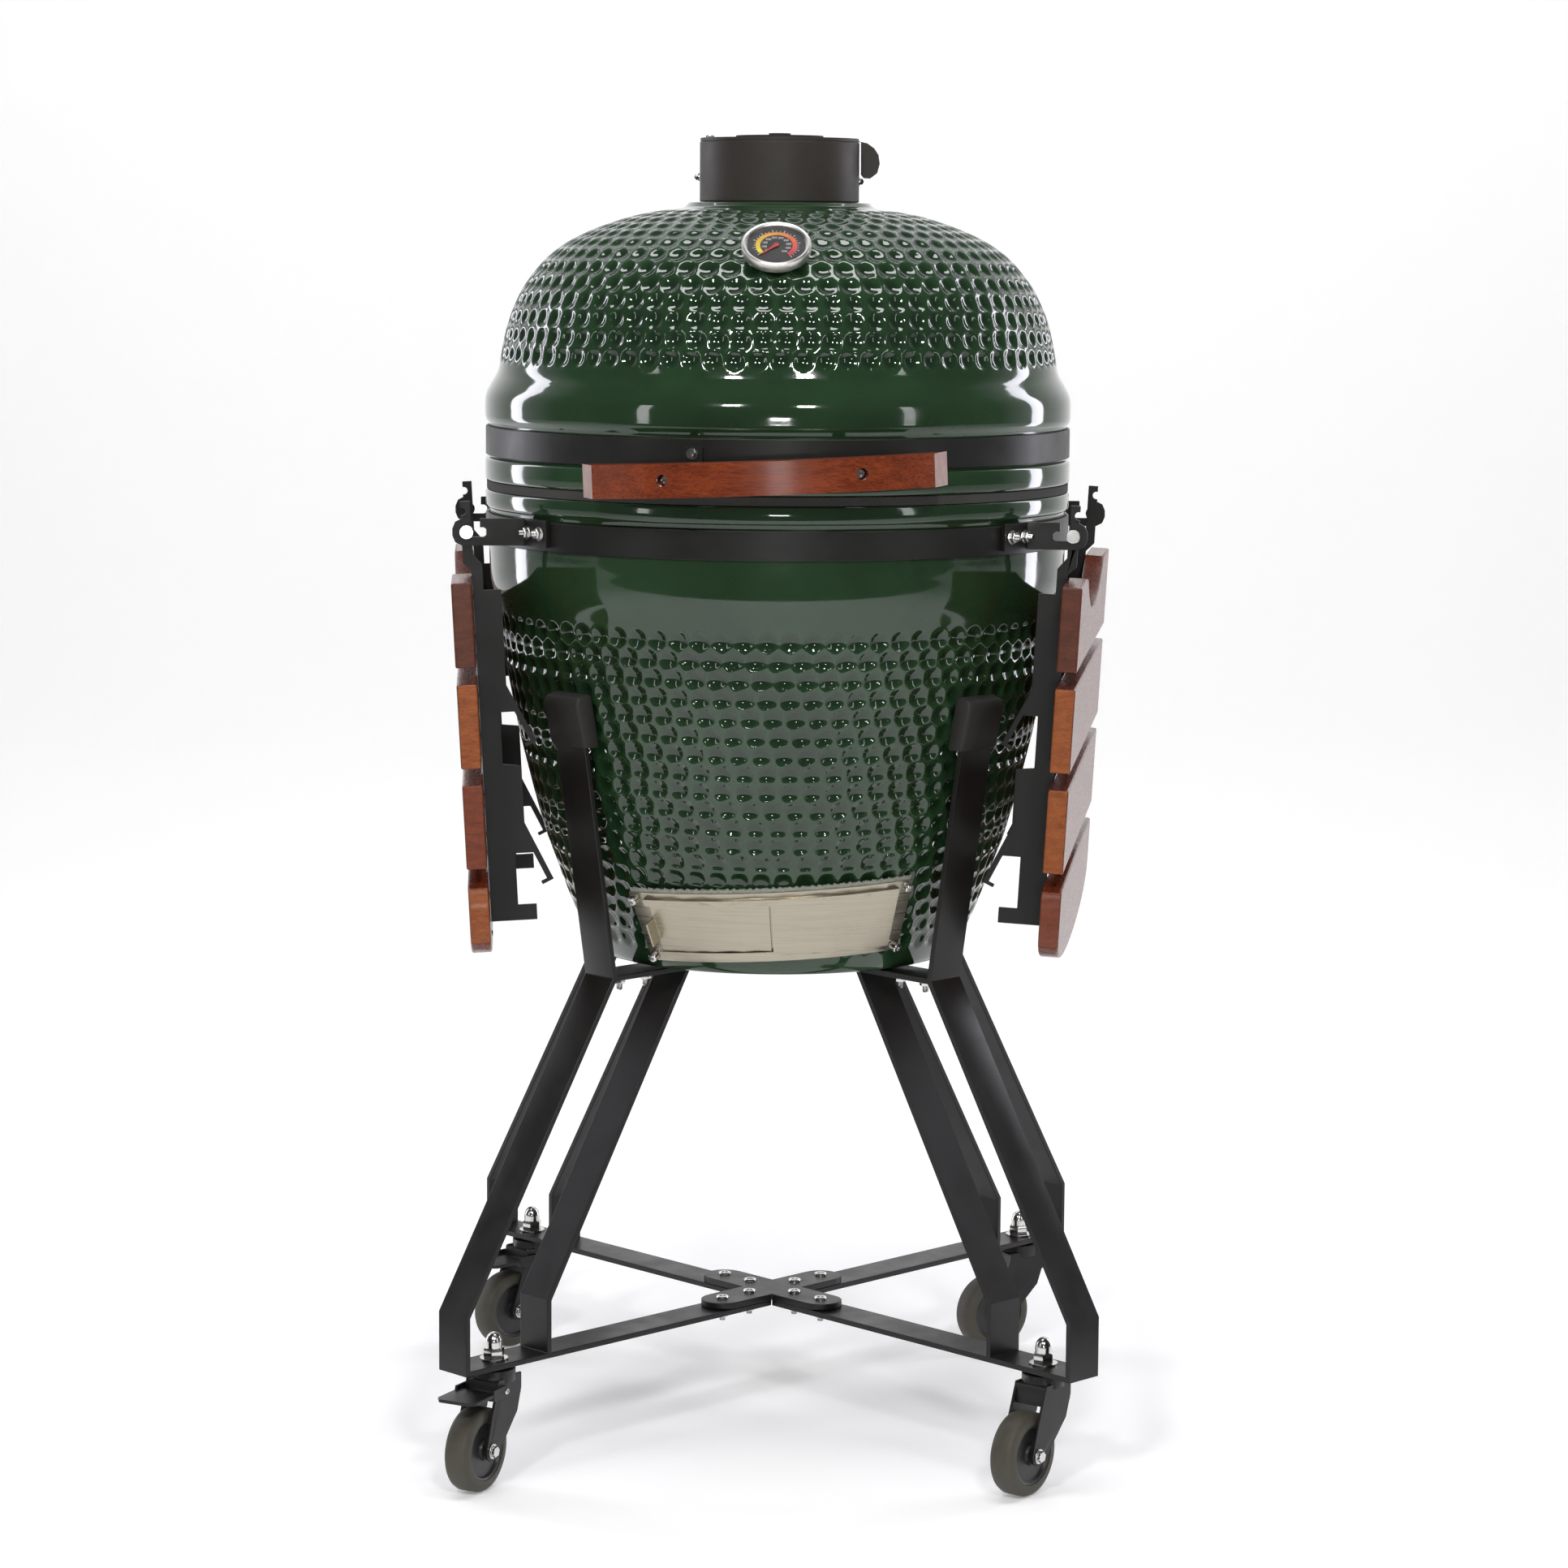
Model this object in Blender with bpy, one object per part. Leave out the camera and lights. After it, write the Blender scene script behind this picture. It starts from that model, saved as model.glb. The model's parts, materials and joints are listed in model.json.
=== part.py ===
"""Kamado ceramic grill on a four-legged cart, with folding side shelves.

Metres, +Z up.  The origin is on the floor under the middle of the body, the
body's axis is Z, the front is -Y and the viewer's left is -X.
"""
import math

import bmesh
import bpy
from mathutils import Matrix, Vector

GAP = 0.0003                    # clearance between pieces that touch
SEGMENTS = 36                   # facets of every large turned piece

# ceramic body: (radius, height) of the outer surface, then of the inner one
BASE_OUTER = [(0.158, 0.447), (0.171, 0.452), (0.1914, 0.496), (0.2029, 0.527), (0.214, 0.557),
              (0.2309, 0.619), (0.2382, 0.649), (0.2444, 0.680), (0.2500, 0.710),
              (0.2545, 0.740), (0.2585, 0.765), (0.2644, 0.7893), (0.266, 0.826),
              (0.266, 0.8578), (0.269, 0.860), (0.269, 0.8743)]
BASE_INNER = [(0.248, 0.8743), (0.2447, 0.820), (0.2275, 0.695), (0.2175, 0.649),
              (0.202, 0.588), (0.182, 0.527), (0.150, 0.469), (0.012, 0.469)]
DRAIN_RADIUS = 0.012
LID_OUTER = [(0.2695, 0.883), (0.2695, 0.9036), (0.266, 0.904), (0.266, 0.934), (0.2697, 0.940),
             (0.2697, 0.954), (0.2585, 0.9805), (0.2532, 1.0073), (0.2426, 1.043),
             (0.2331, 1.0608), (0.2196, 1.0785), (0.1991, 1.0963), (0.1842, 1.1052),
             (0.1641, 1.114), (0.1373, 1.1229), (0.0875, 1.131), (0.0823, 1.1362)]
LID_INNER = [(0.055, 1.1362), (0.055, 1.110), (0.110, 1.106), (0.145, 1.098), (0.170, 1.087),
             (0.208, 1.057), (0.2325, 1.0073), (0.2487, 0.9405), (0.249, 0.883)]
GASKET = (0.250, 0.268, 0.8746, 0.8826)             # inner radius, outer radius, bottom, top
BAND_INNER = 0.2665
BAND_OUTER = 0.269
BASE_BAND = (0.827, 0.853)
LID_BAND = (0.906, 0.932)
STRAP_INNER = 0.2695                                # brackets that lie on a band
STRAP_OUTER = 0.2735

# inside
FIRE_BOX = [(0.140, 0.4695), (0.172, 0.530), (0.192, 0.588), (0.209, 0.649), (0.234, 0.800),
            (0.216, 0.800), (0.191, 0.649), (0.166, 0.560), (0.135, 0.560), (0.125, 0.4695)]
CHARCOAL_GRATE = (0.161, 0.5603, 0.5683)            # radius, bottom, top
COOKING_GRATE = (0.231, 0.8003, 0.8083)
GRATE_RIM = 0.009
GRATE_BAR = 0.006

# air inlet at the front of the base: a door that slides round a tilted cone
DRAFT_RADIUS = 0.1918
DRAFT_Z = 0.497
DRAFT_SLOPE = math.atan(0.43)
DRAFT_TILT = math.radians(3.0)
DRAFT_PLATE = (0.0030, 0.0042)                      # heights above the ceramic
DRAFT_DOOR = (0.0050, 0.0064)
DRAFT_COVER = (0.0070, 0.0082)
DRAFT_WINDOW = (math.radians(-30), math.radians(-3), 0.023)

# lid hinge at the rear
HINGE_Y = 0.306
HINGE_Z = 0.880
HINGE_BOSS = 0.0135
HINGE_PIN_RADIUS = 0.004
HINGE_BORE_RADIUS = 0.0044

# top vent
CHIMNEY = [(0.073, 1.1365), (0.073, 1.191), (0.070, 1.191), (0.070, 1.1395), (0.052, 1.1395),
           (0.052, 1.115), (0.054, 1.115), (0.054, 1.1365)]
FLAP_RADIUS = 0.0725
FLAP_Z = (1.1913, 1.1943)
FLAP_PIVOT_X = -0.064
FLAP_TAB = [(0.066, 1.1935), (0.080, 1.1905), (0.0865, 1.186), (0.0905, 1.180), (0.0917, 1.172),
            (0.0895, 1.1635), (0.083, 1.1585), (0.0770, 1.1588), (0.0745, 1.162), (0.0743, 1.1914),
            (0.066, 1.1921)]
VENT_WHEEL_RADIUS = 0.040
VENT_HOLE_RADIUS = 0.0085
VENT_HOLE_CIRCLE = 0.024
VENT_HOLES = 5

# thermometer, square to the lid's shoulder
DIAL_CENTRE = Vector((0.0, -0.2045, 1.0914))
DIAL_TURN = math.radians(38.0)                      # lean of its axis from straight up
DIAL_CASE = [(0.0, -0.060), (0.004, -0.060), (0.004, 0.001), (0.029, 0.001), (0.0305, 0.0025),
             (0.0305, 0.0095), (0.0290, 0.011), (0.0270, 0.011), (0.0265, 0.0075), (0.0, 0.0075)]
DIAL_HOLE_RADIUS = 0.005
NEEDLE_REST = math.radians(-137.0)

# handle
HANDLE_RADIUS = 0.315
HANDLE_DEPTH = 0.022
HANDLE_HEIGHT = 0.029
HANDLE_Z = 0.902
HANDLE_HALF = math.radians(29.0)
HANDLE_CENTRE = math.radians(-91.8)
HANDLE_TILT = math.radians(2.5)
HANDLE_SCREW = 0.083

# cart, one flat bar on each diagonal; (radius, height) along the bar's middle
BAR_WIDTH = 0.038
BAR_THICK = 0.005
OUTER_BAR = [(0.0005, 0.1095), (0.3915, 0.1095), (0.3915, 0.160), (0.2180, 0.4425),
             (0.2590, 0.690)]
INNER_BAR = [(0.2965, 0.1095), (0.2965, 0.160), (0.1275, 0.4425)]
TOP_BAR = [(0.0005, 0.4425), (0.2175, 0.4425)]
CASTER_RADIUS = 0.346
PAD_SECTION = [(0.2400, 0.654), (0.2500, 0.702), (0.2560, 0.7025), (0.2665, 0.699),
               (0.2680, 0.693), (0.2590, 0.657), (0.2560, 0.654)]
PAD_WIDTH = 0.046
CROSS_REACH = 0.065
CROSS_LOBE = 0.020

CORNERS = {"front_left": 225.0, "front_right": 315.0, "rear_left": 135.0, "rear_right": 45.0}
# direction in which each caster trails, in degrees from +X
TRAIL_HEADING = {"front_left": 243.0, "front_right": 233.0, "rear_left": 225.0,
                 "rear_right": 212.0}
BRAKED = ("front_left", "rear_left")

# casters
WHEEL_RADIUS = 0.0375
WHEEL_HALF = 0.012
TRAIL = 0.031
AXLE_RADIUS = 0.003
STEM_RADIUS = 0.0045
STEM_HOLE_RADIUS = 0.0055
FORK_SIDE = [(-0.0190, 0.098), (-0.0190, 0.084), (-0.012, 0.064), (0.0215, 0.031),
             (0.0265, 0.0285), (0.0330, 0.0285), (0.0385, 0.032), (0.0400, 0.0375),
             (0.0385, 0.043), (0.0300, 0.068), (0.0240, 0.084), (0.0190, 0.098)]
PEDAL_PIVOT = (0.012, 0.088)                        # along the trail, height
PEDAL_HALF = 0.0200

# side shelves, in a frame whose origin is the pin, +X outward and +Z up
SHELVES = {"left": (-0.287, math.radians(184.5), 1), "right": (0.283, math.radians(-6.5), -1)}
PIN_Z = 0.843
PIN_RADIUS = 0.0039
PIN_HOLE_RADIUS = 0.0043
HANG_TILT = math.radians(3.0)
HINGE_PLATE = (0.158, 0.162)                        # distances along the pin line
BRACKET_PLATE = (0.1535, 0.1575)
HINGE_PLATE_OUTLINE = [(-0.100, -0.012), (0.004, -0.012), (0.0100, -0.0090), (0.0125, -0.003),
                       (0.0125, 0.003), (0.0100, 0.0090), (0.004, 0.012), (-0.0015, 0.012),
                       (-0.0015, 0.00425), (0.0020, 0.00425), (0.0042, 0.0022),
                       (0.0042, -0.0022), (0.0020, -0.00425), (-0.0155, -0.00425),
                       (-0.0180, -0.0022), (-0.0180, 0.0022), (-0.0155, 0.00425),
                       (-0.012, 0.00425), (-0.012, 0.012), (-0.100, 0.012)]
STUD = (-0.0305, 0.0034, 0.0025)                    # outward, up, radius
NOTCH = (0.0034, 0.018, 0.0036)
BRACKET_OUTLINE = [(0.0045, 0.027), (-0.0045, 0.027), (-0.0045, -0.020), (-0.0125, -0.030),
                   (-0.0125, -0.053), (-0.028, -0.053), (-0.028, -0.139), (-0.0525, -0.1905),
                   (-0.0426, -0.1952), (-0.0413, -0.1925), (-0.0467, -0.1899),
                   (-0.0339, -0.163), (-0.021, -0.163), (-0.021, -0.210),
                   (-0.0376, -0.212), (-0.0376, -0.264), (-0.061, -0.316), (-0.0510, -0.3205),
                   (-0.0498, -0.3178), (-0.0552, -0.3154), (-0.0442, -0.291),
                   (-0.028, -0.291), (-0.028, -0.338), (-0.0446, -0.338),
                   (-0.0446, -0.352), (-0.003, -0.352), (-0.003, -0.036), (0.0045, -0.028)]
SLAT_THICK = 0.018
SLAT_INNER = -0.0027
SLAT_HALF = 0.245
SLAT_HEIGHT = 0.0745
SLAT_TOPS = (-0.0385, -0.1275, -0.2165, -0.3055)
CUT_CHORD = 0.28
CUT_DEPTH = 0.036
END_SLAT_SIDE = 0.043
END_SLAT_MIDDLE = 0.080

COLOURS = {
    "green_glaze": ((0.012, 0.055, 0.022), 0.12, 0.0),
    "black_coat": ((0.012, 0.012, 0.012), 0.45, 0.3),
    "grey_rubber": ((0.03, 0.03, 0.028), 0.75, 0.0),
    "tread": ((0.10, 0.10, 0.08), 0.7, 0.0),
    "wood": ((0.23, 0.045, 0.018), 0.3, 0.0),
    "stainless": ((0.60, 0.56, 0.50), 0.28, 1.0),
    "steel": ((0.55, 0.55, 0.55), 0.25, 1.0),
    "cast_iron": ((0.03, 0.03, 0.03), 0.6, 0.6),
    "felt": ((0.05, 0.05, 0.05), 0.95, 0.0),
    "fire_clay": ((0.50, 0.45, 0.38), 0.85, 0.0),
    "red_paint": ((0.5, 0.03, 0.02), 0.4, 0.0),
}


def material(name):
    """The named Principled material, made once."""
    found = bpy.data.materials.get(name)
    if found:
        return found
    made = bpy.data.materials.new(name)
    made.use_nodes = True
    colour, roughness, metallic = COLOURS[name]
    shader = made.node_tree.nodes["Principled BSDF"]
    shader.inputs["Base Color"].default_value = (*colour, 1.0)
    shader.inputs["Roughness"].default_value = roughness
    shader.inputs["Metallic"].default_value = metallic
    return made


def to_object(name, shape, finish="black_coat", smooth=None):
    """Turn a bmesh into an object; smooth is the edge angle kept sharp."""
    bmesh.ops.recalc_face_normals(shape, faces=shape.faces[:])
    mesh = bpy.data.meshes.new(name)
    shape.to_mesh(mesh)
    shape.free()
    made = bpy.data.objects.new(name, mesh)
    bpy.context.scene.collection.objects.link(made)
    mesh.materials.append(material(finish))
    if smooth:
        shade(made, smooth)
    return made


def shade(thing, angle=35.0):
    thing.data.shade_smooth()
    thing.data.set_sharp_from_angle(angle=math.radians(angle))


def combine(base, tools, operation="UNION"):
    """Apply exact booleans of the tools to the base and delete the tools."""
    for tool in tools:
        step = base.modifiers.new(operation.lower(), "BOOLEAN")
        step.operation = operation
        step.solver = "EXACT"
        step.object = tool
    bpy.context.view_layer.update()
    evaluated = base.evaluated_get(bpy.context.evaluated_depsgraph_get())
    result = bpy.data.meshes.new_from_object(evaluated)
    base.modifiers.clear()
    base.data = result
    for tool in tools:
        bpy.data.objects.remove(tool)
    return base


def revolve(outline, segments=SEGMENTS):
    """A closed (radius, height) outline turned about Z."""
    shape = bmesh.new()
    rings = []
    for radius, height in outline:
        if radius == 0.0:
            rings.append([shape.verts.new((0.0, 0.0, height))])
            continue
        turns = [2 * math.pi * k / segments for k in range(segments)]
        rings.append([shape.verts.new((radius * math.cos(a), radius * math.sin(a), height))
                      for a in turns])
    for first, second in zip(rings, rings[1:] + rings[:1]):
        if len(first) == 1 and len(second) == 1:
            continue
        for k in range(segments):
            corners = [first[k % len(first)], first[(k + 1) % len(first)],
                       second[(k + 1) % len(second)], second[k % len(second)]]
            shape.faces.new(list(dict.fromkeys(corners)))
    return shape


def prism(outline, low, high, plane="XZ"):
    """An outline in the named plane, extruded from low to high across it."""
    spread = {"XZ": lambda a, b, d: (a, d, b), "XY": lambda a, b, d: (a, b, d),
              "YZ": lambda a, b, d: (d, a, b)}[plane]
    shape = bmesh.new()
    near = [shape.verts.new(spread(a, b, low)) for a, b in outline]
    far = [shape.verts.new(spread(a, b, high)) for a, b in outline]
    count = len(outline)
    shape.faces.new(near)
    shape.faces.new(far[::-1])
    for k in range(count):
        after = (k + 1) % count
        shape.faces.new((near[k], far[k], far[after], near[after]))
    return shape


def box(low, high):
    """An upright box between two corners."""
    outline = [(low[0], low[1]), (high[0], low[1]), (high[0], high[1]), (low[0], high[1])]
    return prism(outline, low[2], high[2], "XY")


def rod(radius, low, high, axis="Z", centre=(0.0, 0.0), segments=16):
    """A round bar along an axis; centre is in the other two axes, in order."""
    outline = [(centre[0] + radius * math.cos(2 * math.pi * k / segments),
                centre[1] + radius * math.sin(2 * math.pi * k / segments))
               for k in range(segments)]
    return prism(outline, low, high, {"Z": "XY", "Y": "XZ", "X": "YZ"}[axis])


def sweep(section, angles):
    """Carry a closed section round Z: section(angle) gives its points."""
    shape = bmesh.new()
    rings = [[shape.verts.new(point) for point in section(angle)] for angle in angles]
    count = len(rings[0])
    for first, second in zip(rings, rings[1:]):
        for k in range(count):
            after = (k + 1) % count
            shape.faces.new((first[k], second[k], second[after], first[after]))
    shape.faces.new(rings[0])
    shape.faces.new(rings[-1][::-1])
    return shape


def steps(first, last, step_deg=5.0):
    """Angles from first to last in about equal steps."""
    count = max(1, round(abs(last - first) / math.radians(step_deg)))
    return [first + (last - first) * k / count for k in range(count + 1)]


def ring_sector(inner, outer, low, high, first, last):
    """A piece of flat-topped ring about Z, such as a strap lying on a band."""
    def section(angle):
        cosine, sine = math.cos(angle), math.sin(angle)
        return [(radius * cosine, radius * sine, height) for radius, height in
                ((inner, low), (outer, low), (outer, high), (inner, high))]
    return sweep(section, steps(first, last))


def arc(centre, radius, first_deg, last_deg, count):
    """Points along an arc, both ends included."""
    turns = [math.radians(first_deg + (last_deg - first_deg) * k / count)
             for k in range(count + 1)]
    return [(centre[0] + radius * math.cos(a), centre[1] + radius * math.sin(a)) for a in turns]


def strip(path, thickness):
    """The outline of a flat bar of this thickness bent along a path."""
    half = thickness / 2
    points = [Vector(point) for point in path]
    sides = ([], [])
    for k, point in enumerate(points):
        ahead = (points[min(k + 1, len(points) - 1)] - points[max(min(k, len(points) - 2), 0)])
        behind = (points[max(k, 1)] - points[max(k - 1, 0)])
        ahead.normalize()
        behind.normalize()
        if k == len(points) - 1:
            ahead = behind
        normal = Vector((-behind.y, behind.x)) + Vector((-ahead.y, ahead.x))
        normal.normalize()
        reach = half / normal.dot(Vector((-ahead.y, ahead.x)))
        sides[0].append(tuple(point + normal * reach))
        sides[1].append(tuple(point - normal * reach))
    return sides[0] + sides[1][::-1]


def joint_empty(name, place, turn=None, parent=None):
    """An empty on a joint's axis, for the moving pieces to hang from."""
    empty = bpy.data.objects.new(name, None)
    bpy.context.scene.collection.objects.link(empty)
    empty.matrix_world = Matrix.Translation(Vector(place)) @ (turn or Matrix.Identity(4))
    bpy.context.view_layer.update()
    if parent:
        hang(empty, parent)
    return empty


def hang(thing, parent):
    """Parent a thing without moving it."""
    bpy.context.view_layer.update()
    thing.parent = parent
    thing.matrix_parent_inverse = parent.matrix_world.inverted()
    bpy.context.view_layer.update()


def body_shells(lid):
    """The two glazed ceramic shells, the felt between them and their steel bands."""
    base = to_object("base_shell", revolve(BASE_OUTER + BASE_INNER
                                           + [(DRAIN_RADIUS, BASE_OUTER[0][1])]), "green_glaze")
    low, high, half = DRAFT_WINDOW
    window = to_object("inlet_cut", draft_patch(low, high, -half, half, -0.035, 0.030))
    combine(base, [window], "DIFFERENCE")
    shade(base)
    shell = to_object("lid_shell", revolve(LID_OUTER + LID_INNER), "green_glaze")
    drill = to_object("stem_cut", rod(DIAL_HOLE_RADIUS, -0.08, 0.03))
    drill.matrix_world = dial_matrix()
    combine(shell, [drill], "DIFFERENCE")
    shade(shell)
    hang(shell, lid)
    inner, outer, low, high = GASKET
    to_object("gasket", ring(inner, outer, low, high), "felt", 35)
    to_object("base_band", ring(BAND_INNER, BAND_OUTER, *BASE_BAND), "black_coat", 35)
    hang(to_object("lid_band", ring(BAND_INNER, BAND_OUTER, *LID_BAND), "black_coat", 35), lid)


def ring(inner, outer, low, high):
    return revolve([(inner, low), (outer, low), (outer, high), (inner, high)])


def inside():
    """The fire clay liner and the two cast grates that rest in it."""
    liner = to_object("fire_box", revolve(FIRE_BOX), "fire_clay")
    low, high, half = DRAFT_WINDOW
    window = to_object("liner_cut", draft_patch(low, high, -half, half, -0.100, -0.020))
    combine(liner, [window], "DIFFERENCE")
    shade(liner)
    grate("charcoal_grate", CHARCOAL_GRATE, 0.030)
    grate("cooking_grate", COOKING_GRATE, 0.036)


def grate(name, size, pitch):
    """A round grate: a rim, parallel bars and one cross bar."""
    radius, low, high = size
    rim = to_object(name, ring(radius - GRATE_RIM, radius, low, high), "cast_iron")
    reach = radius - GRATE_RIM / 2
    count = int(reach / pitch)
    bars = [box((-reach, -GRATE_BAR / 2, low + 0.001), (reach, GRATE_BAR / 2, high - 0.001))]
    for k in range(-count, count + 1):
        place = k * pitch
        half = math.sqrt(reach ** 2 - place ** 2) - 0.002
        bars.append(box((place - GRATE_BAR / 2, -half, low + 0.0005),
                        (place + GRATE_BAR / 2, half, high - 0.0005)))
    combine(rim, [to_object("bar", bar, "cast_iron") for bar in bars])
    shade(rim)


def draft_point(angle, slant, height):
    """A point on the tilted cone over the air inlet; the angle is from the front."""
    sine, cosine = math.sin(DRAFT_SLOPE), math.cos(DRAFT_SLOPE)
    radius = DRAFT_RADIUS + slant * sine + height * cosine
    x = radius * math.sin(angle)
    y = -radius * math.cos(angle)
    rise = slant * cosine - height * sine
    return (x * math.cos(DRAFT_TILT) - rise * math.sin(DRAFT_TILT), y,
            DRAFT_Z + x * math.sin(DRAFT_TILT) + rise * math.cos(DRAFT_TILT))


def draft_patch(first, last, low, high, inner, outer):
    """A curved plate between two angles, two slant heights and two offsets."""
    def section(angle):
        return [draft_point(angle, slant, height) for slant, height in
                ((low, inner), (high, inner), (high, outer), (low, outer))]
    return sweep(section, steps(first, last, 7.5))


def draft():
    """The stainless inlet frame with its rails and cover, and the sliding door."""
    wide, end = math.radians(37.5), math.radians(33.0)
    tall, rail = 0.036, 0.0275
    frame = to_object("draft_frame", draft_patch(-wide, wide, -tall, tall, *DRAFT_PLATE),
                      "stainless")
    low, high, half = DRAFT_WINDOW
    pieces = []
    for side in (-1, 1):
        near, far = sorted((side * rail, side * (rail + 0.0035)))
        pieces.append(draft_patch(-end, end, near, far, DRAFT_PLATE[1] - 0.0006,
                                  DRAFT_COVER[1]))
        near, far = sorted((side * (rail - 0.0035), side * (rail + 0.0030)))
        pieces.append(draft_patch(-end, math.radians(2), near, far, *DRAFT_COVER))
    pieces.append(draft_patch(0.0, end, -rail - 0.001, rail + 0.001, *DRAFT_COVER))
    combine(frame, [to_object("strip", piece) for piece in pieces])
    window = to_object("window_cut", draft_patch(low, high, -half, half, 0.001, DRAFT_PLATE[1]
                                                 + 0.0005))
    combine(frame, [window], "DIFFERENCE")
    frame.data.materials.clear()
    frame.data.materials.append(material("stainless"))
    shade(frame, 30)
    turn = Matrix.Rotation(-DRAFT_TILT, 4, "Y")
    slider = joint_empty("draft_slide_axis", (0.0, 0.0, DRAFT_Z), turn)
    left, right = math.radians(-32), math.radians(-0.4)
    door = to_object("draft_door", draft_patch(left, right, -rail + 0.0006, rail - 0.0006,
                                               *DRAFT_DOOR), "stainless")
    tab = draft_patch(left, left + math.radians(0.45), -0.012, 0.012, DRAFT_DOOR[0] + 0.0003,
                      0.0190)
    combine(door, [to_object("tab", tab, "stainless")])
    shade(door, 30)
    hang(door, slider)


def lid_hinge(lid):
    """Brackets on the two bands, the pin through both and a torsion spring each side."""
    pin_place = (HINGE_Y, HINGE_Z)
    back = math.radians(90.0)
    half = math.radians(13.125)
    lower_arm = ([(0.2685, 0.831)] + arc(pin_place, HINGE_BOSS, -60, 170, 14)
                 + [(0.2685, 0.853)])
    lower = to_object("hinge_lower", ring_sector(STRAP_INNER, STRAP_OUTER, 0.829, 0.856,
                                                 back - half, back + half))
    upper_arm = ([(0.2685, 0.929)] + arc(pin_place, HINGE_BOSS, 50, -185, 14)
                 + [(0.2685, 0.909)])
    upper = to_object("hinge_upper", ring_sector(STRAP_INNER, STRAP_OUTER, 0.907, 0.931,
                                                 back - half, back + half))
    for side in (-1, 1):
        near, far = sorted((side * 0.038, side * 0.042))
        combine(lower, [to_object("arm", prism(lower_arm, near, far, "YZ"))])
        near, far = sorted((side * 0.0445, side * 0.0485))
        combine(upper, [to_object("arm", prism(upper_arm, near, far, "YZ"))])
    for bracket in (lower, upper):
        bore = to_object("bore", rod(HINGE_BORE_RADIUS, -0.07, 0.07, "X", pin_place))
        combine(bracket, [bore], "DIFFERENCE")
        shade(bracket)
    hang(upper, lid)
    pin = to_object("hinge_pin", rod(HINGE_PIN_RADIUS, -0.0535, 0.0535, "X", pin_place), "steel")
    heads = [to_object("head", rod(0.0068, *sorted((side * 0.0495, side * 0.0535)), "X",
                                   pin_place), "steel") for side in (-1, 1)]
    combine(pin, heads)
    shade(pin)
    for side, name in ((-1, "spring_left"), (1, "spring_right")):
        spring(name, side)


def spring(name, side):
    """A torsion spring round the hinge pin, its leg resting over the lower strap."""
    turns, radius, wire = 5, 0.0085, 0.0012
    first, last = 0.010, 0.034
    count = turns * 8
    route = [(side * last, HINGE_Y - 0.0275, HINGE_Z - 0.024),
             (side * last, HINGE_Y - 0.012, HINGE_Z - 0.0145)]
    for k in range(count + 1):
        angle = -math.pi / 2 - 2 * math.pi * turns * k / count
        x = last + (first - last) * k / count
        route.append((side * x, HINGE_Y + radius * math.cos(angle),
                      HINGE_Z + radius * math.sin(angle)))
    curve = bpy.data.curves.new(name, "CURVE")
    curve.dimensions = "3D"
    curve.bevel_depth = wire
    curve.bevel_resolution = 0
    curve.use_fill_caps = True
    line = curve.splines.new("POLY")
    line.points.add(len(route) - 1)
    for point, place in zip(line.points, route):
        point.co = (*place, 1.0)
    curve.materials.append(material("steel"))
    made = bpy.data.objects.new(name, curve)
    bpy.context.scene.collection.objects.link(made)


def top_vent(lid):
    """The chimney, the flap that swings off it and the daisy wheel on the flap."""
    hang(to_object("chimney", revolve(CHIMNEY), "black_coat", 35), lid)
    pivot = joint_empty("flap_axis", (FLAP_PIVOT_X, 0.0, FLAP_Z[0]), parent=lid)
    low, high = FLAP_Z
    flap = to_object("vent_flap", rod(FLAP_RADIUS, low, high, segments=SEGMENTS))
    combine(flap, [to_object("tab", prism(FLAP_TAB, -0.002, 0.002))])
    combine(flap, vent_holes(low, high, math.radians(126)), "DIFFERENCE")
    shade(flap)
    hang(flap, pivot)
    spin = joint_empty("vent_wheel_axis", (0.0, 0.0, high), parent=pivot)
    low = high + GAP
    wheel = to_object("vent_wheel", rod(VENT_WHEEL_RADIUS, low, low + 0.0022, segments=24))
    combine(wheel, [to_object("knob", rod(0.010, low + 0.0008, low + 0.0044))])
    combine(wheel, vent_holes(low, low + 0.005, math.radians(90)), "DIFFERENCE")
    shade(wheel)
    hang(wheel, spin)


def vent_holes(low, high, start):
    """Cutters for the ring of round air holes."""
    cutters = []
    for k in range(VENT_HOLES):
        angle = start + 2 * math.pi * k / VENT_HOLES
        centre = (VENT_HOLE_CIRCLE * math.cos(angle), VENT_HOLE_CIRCLE * math.sin(angle))
        cutters.append(to_object("hole", rod(VENT_HOLE_RADIUS, low - 0.002, high + 0.002, "Z",
                                             centre, 12)))
    return cutters


def dial_matrix():
    """The thermometer's own frame: +Z out of the lid, +Y up its face."""
    return Matrix.Translation(DIAL_CENTRE) @ Matrix.Rotation(DIAL_TURN, 4, "X")


def thermometer(lid):
    """The case with its probe, and the needle."""
    case = to_object("thermometer_case", revolve(DIAL_CASE, 24), "steel", 35)
    case.matrix_world = dial_matrix()
    hang(case, lid)
    spindle = joint_empty("needle_axis", DIAL_CENTRE, Matrix.Rotation(DIAL_TURN, 4, "X"), lid)
    outline = [(0.0, -0.0026), (0.0026, 0.0), (0.0012, 0.004), (0.0004, 0.0195),
               (-0.0004, 0.0195), (-0.0012, 0.004), (-0.0026, 0.0)]
    needle = to_object("thermometer_needle", prism(outline, 0.0083, 0.0090, "XY"), "red_paint")
    needle.matrix_world = dial_matrix() @ Matrix.Rotation(-NEEDLE_REST, 4, "Z")
    hang(needle, spindle)


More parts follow.
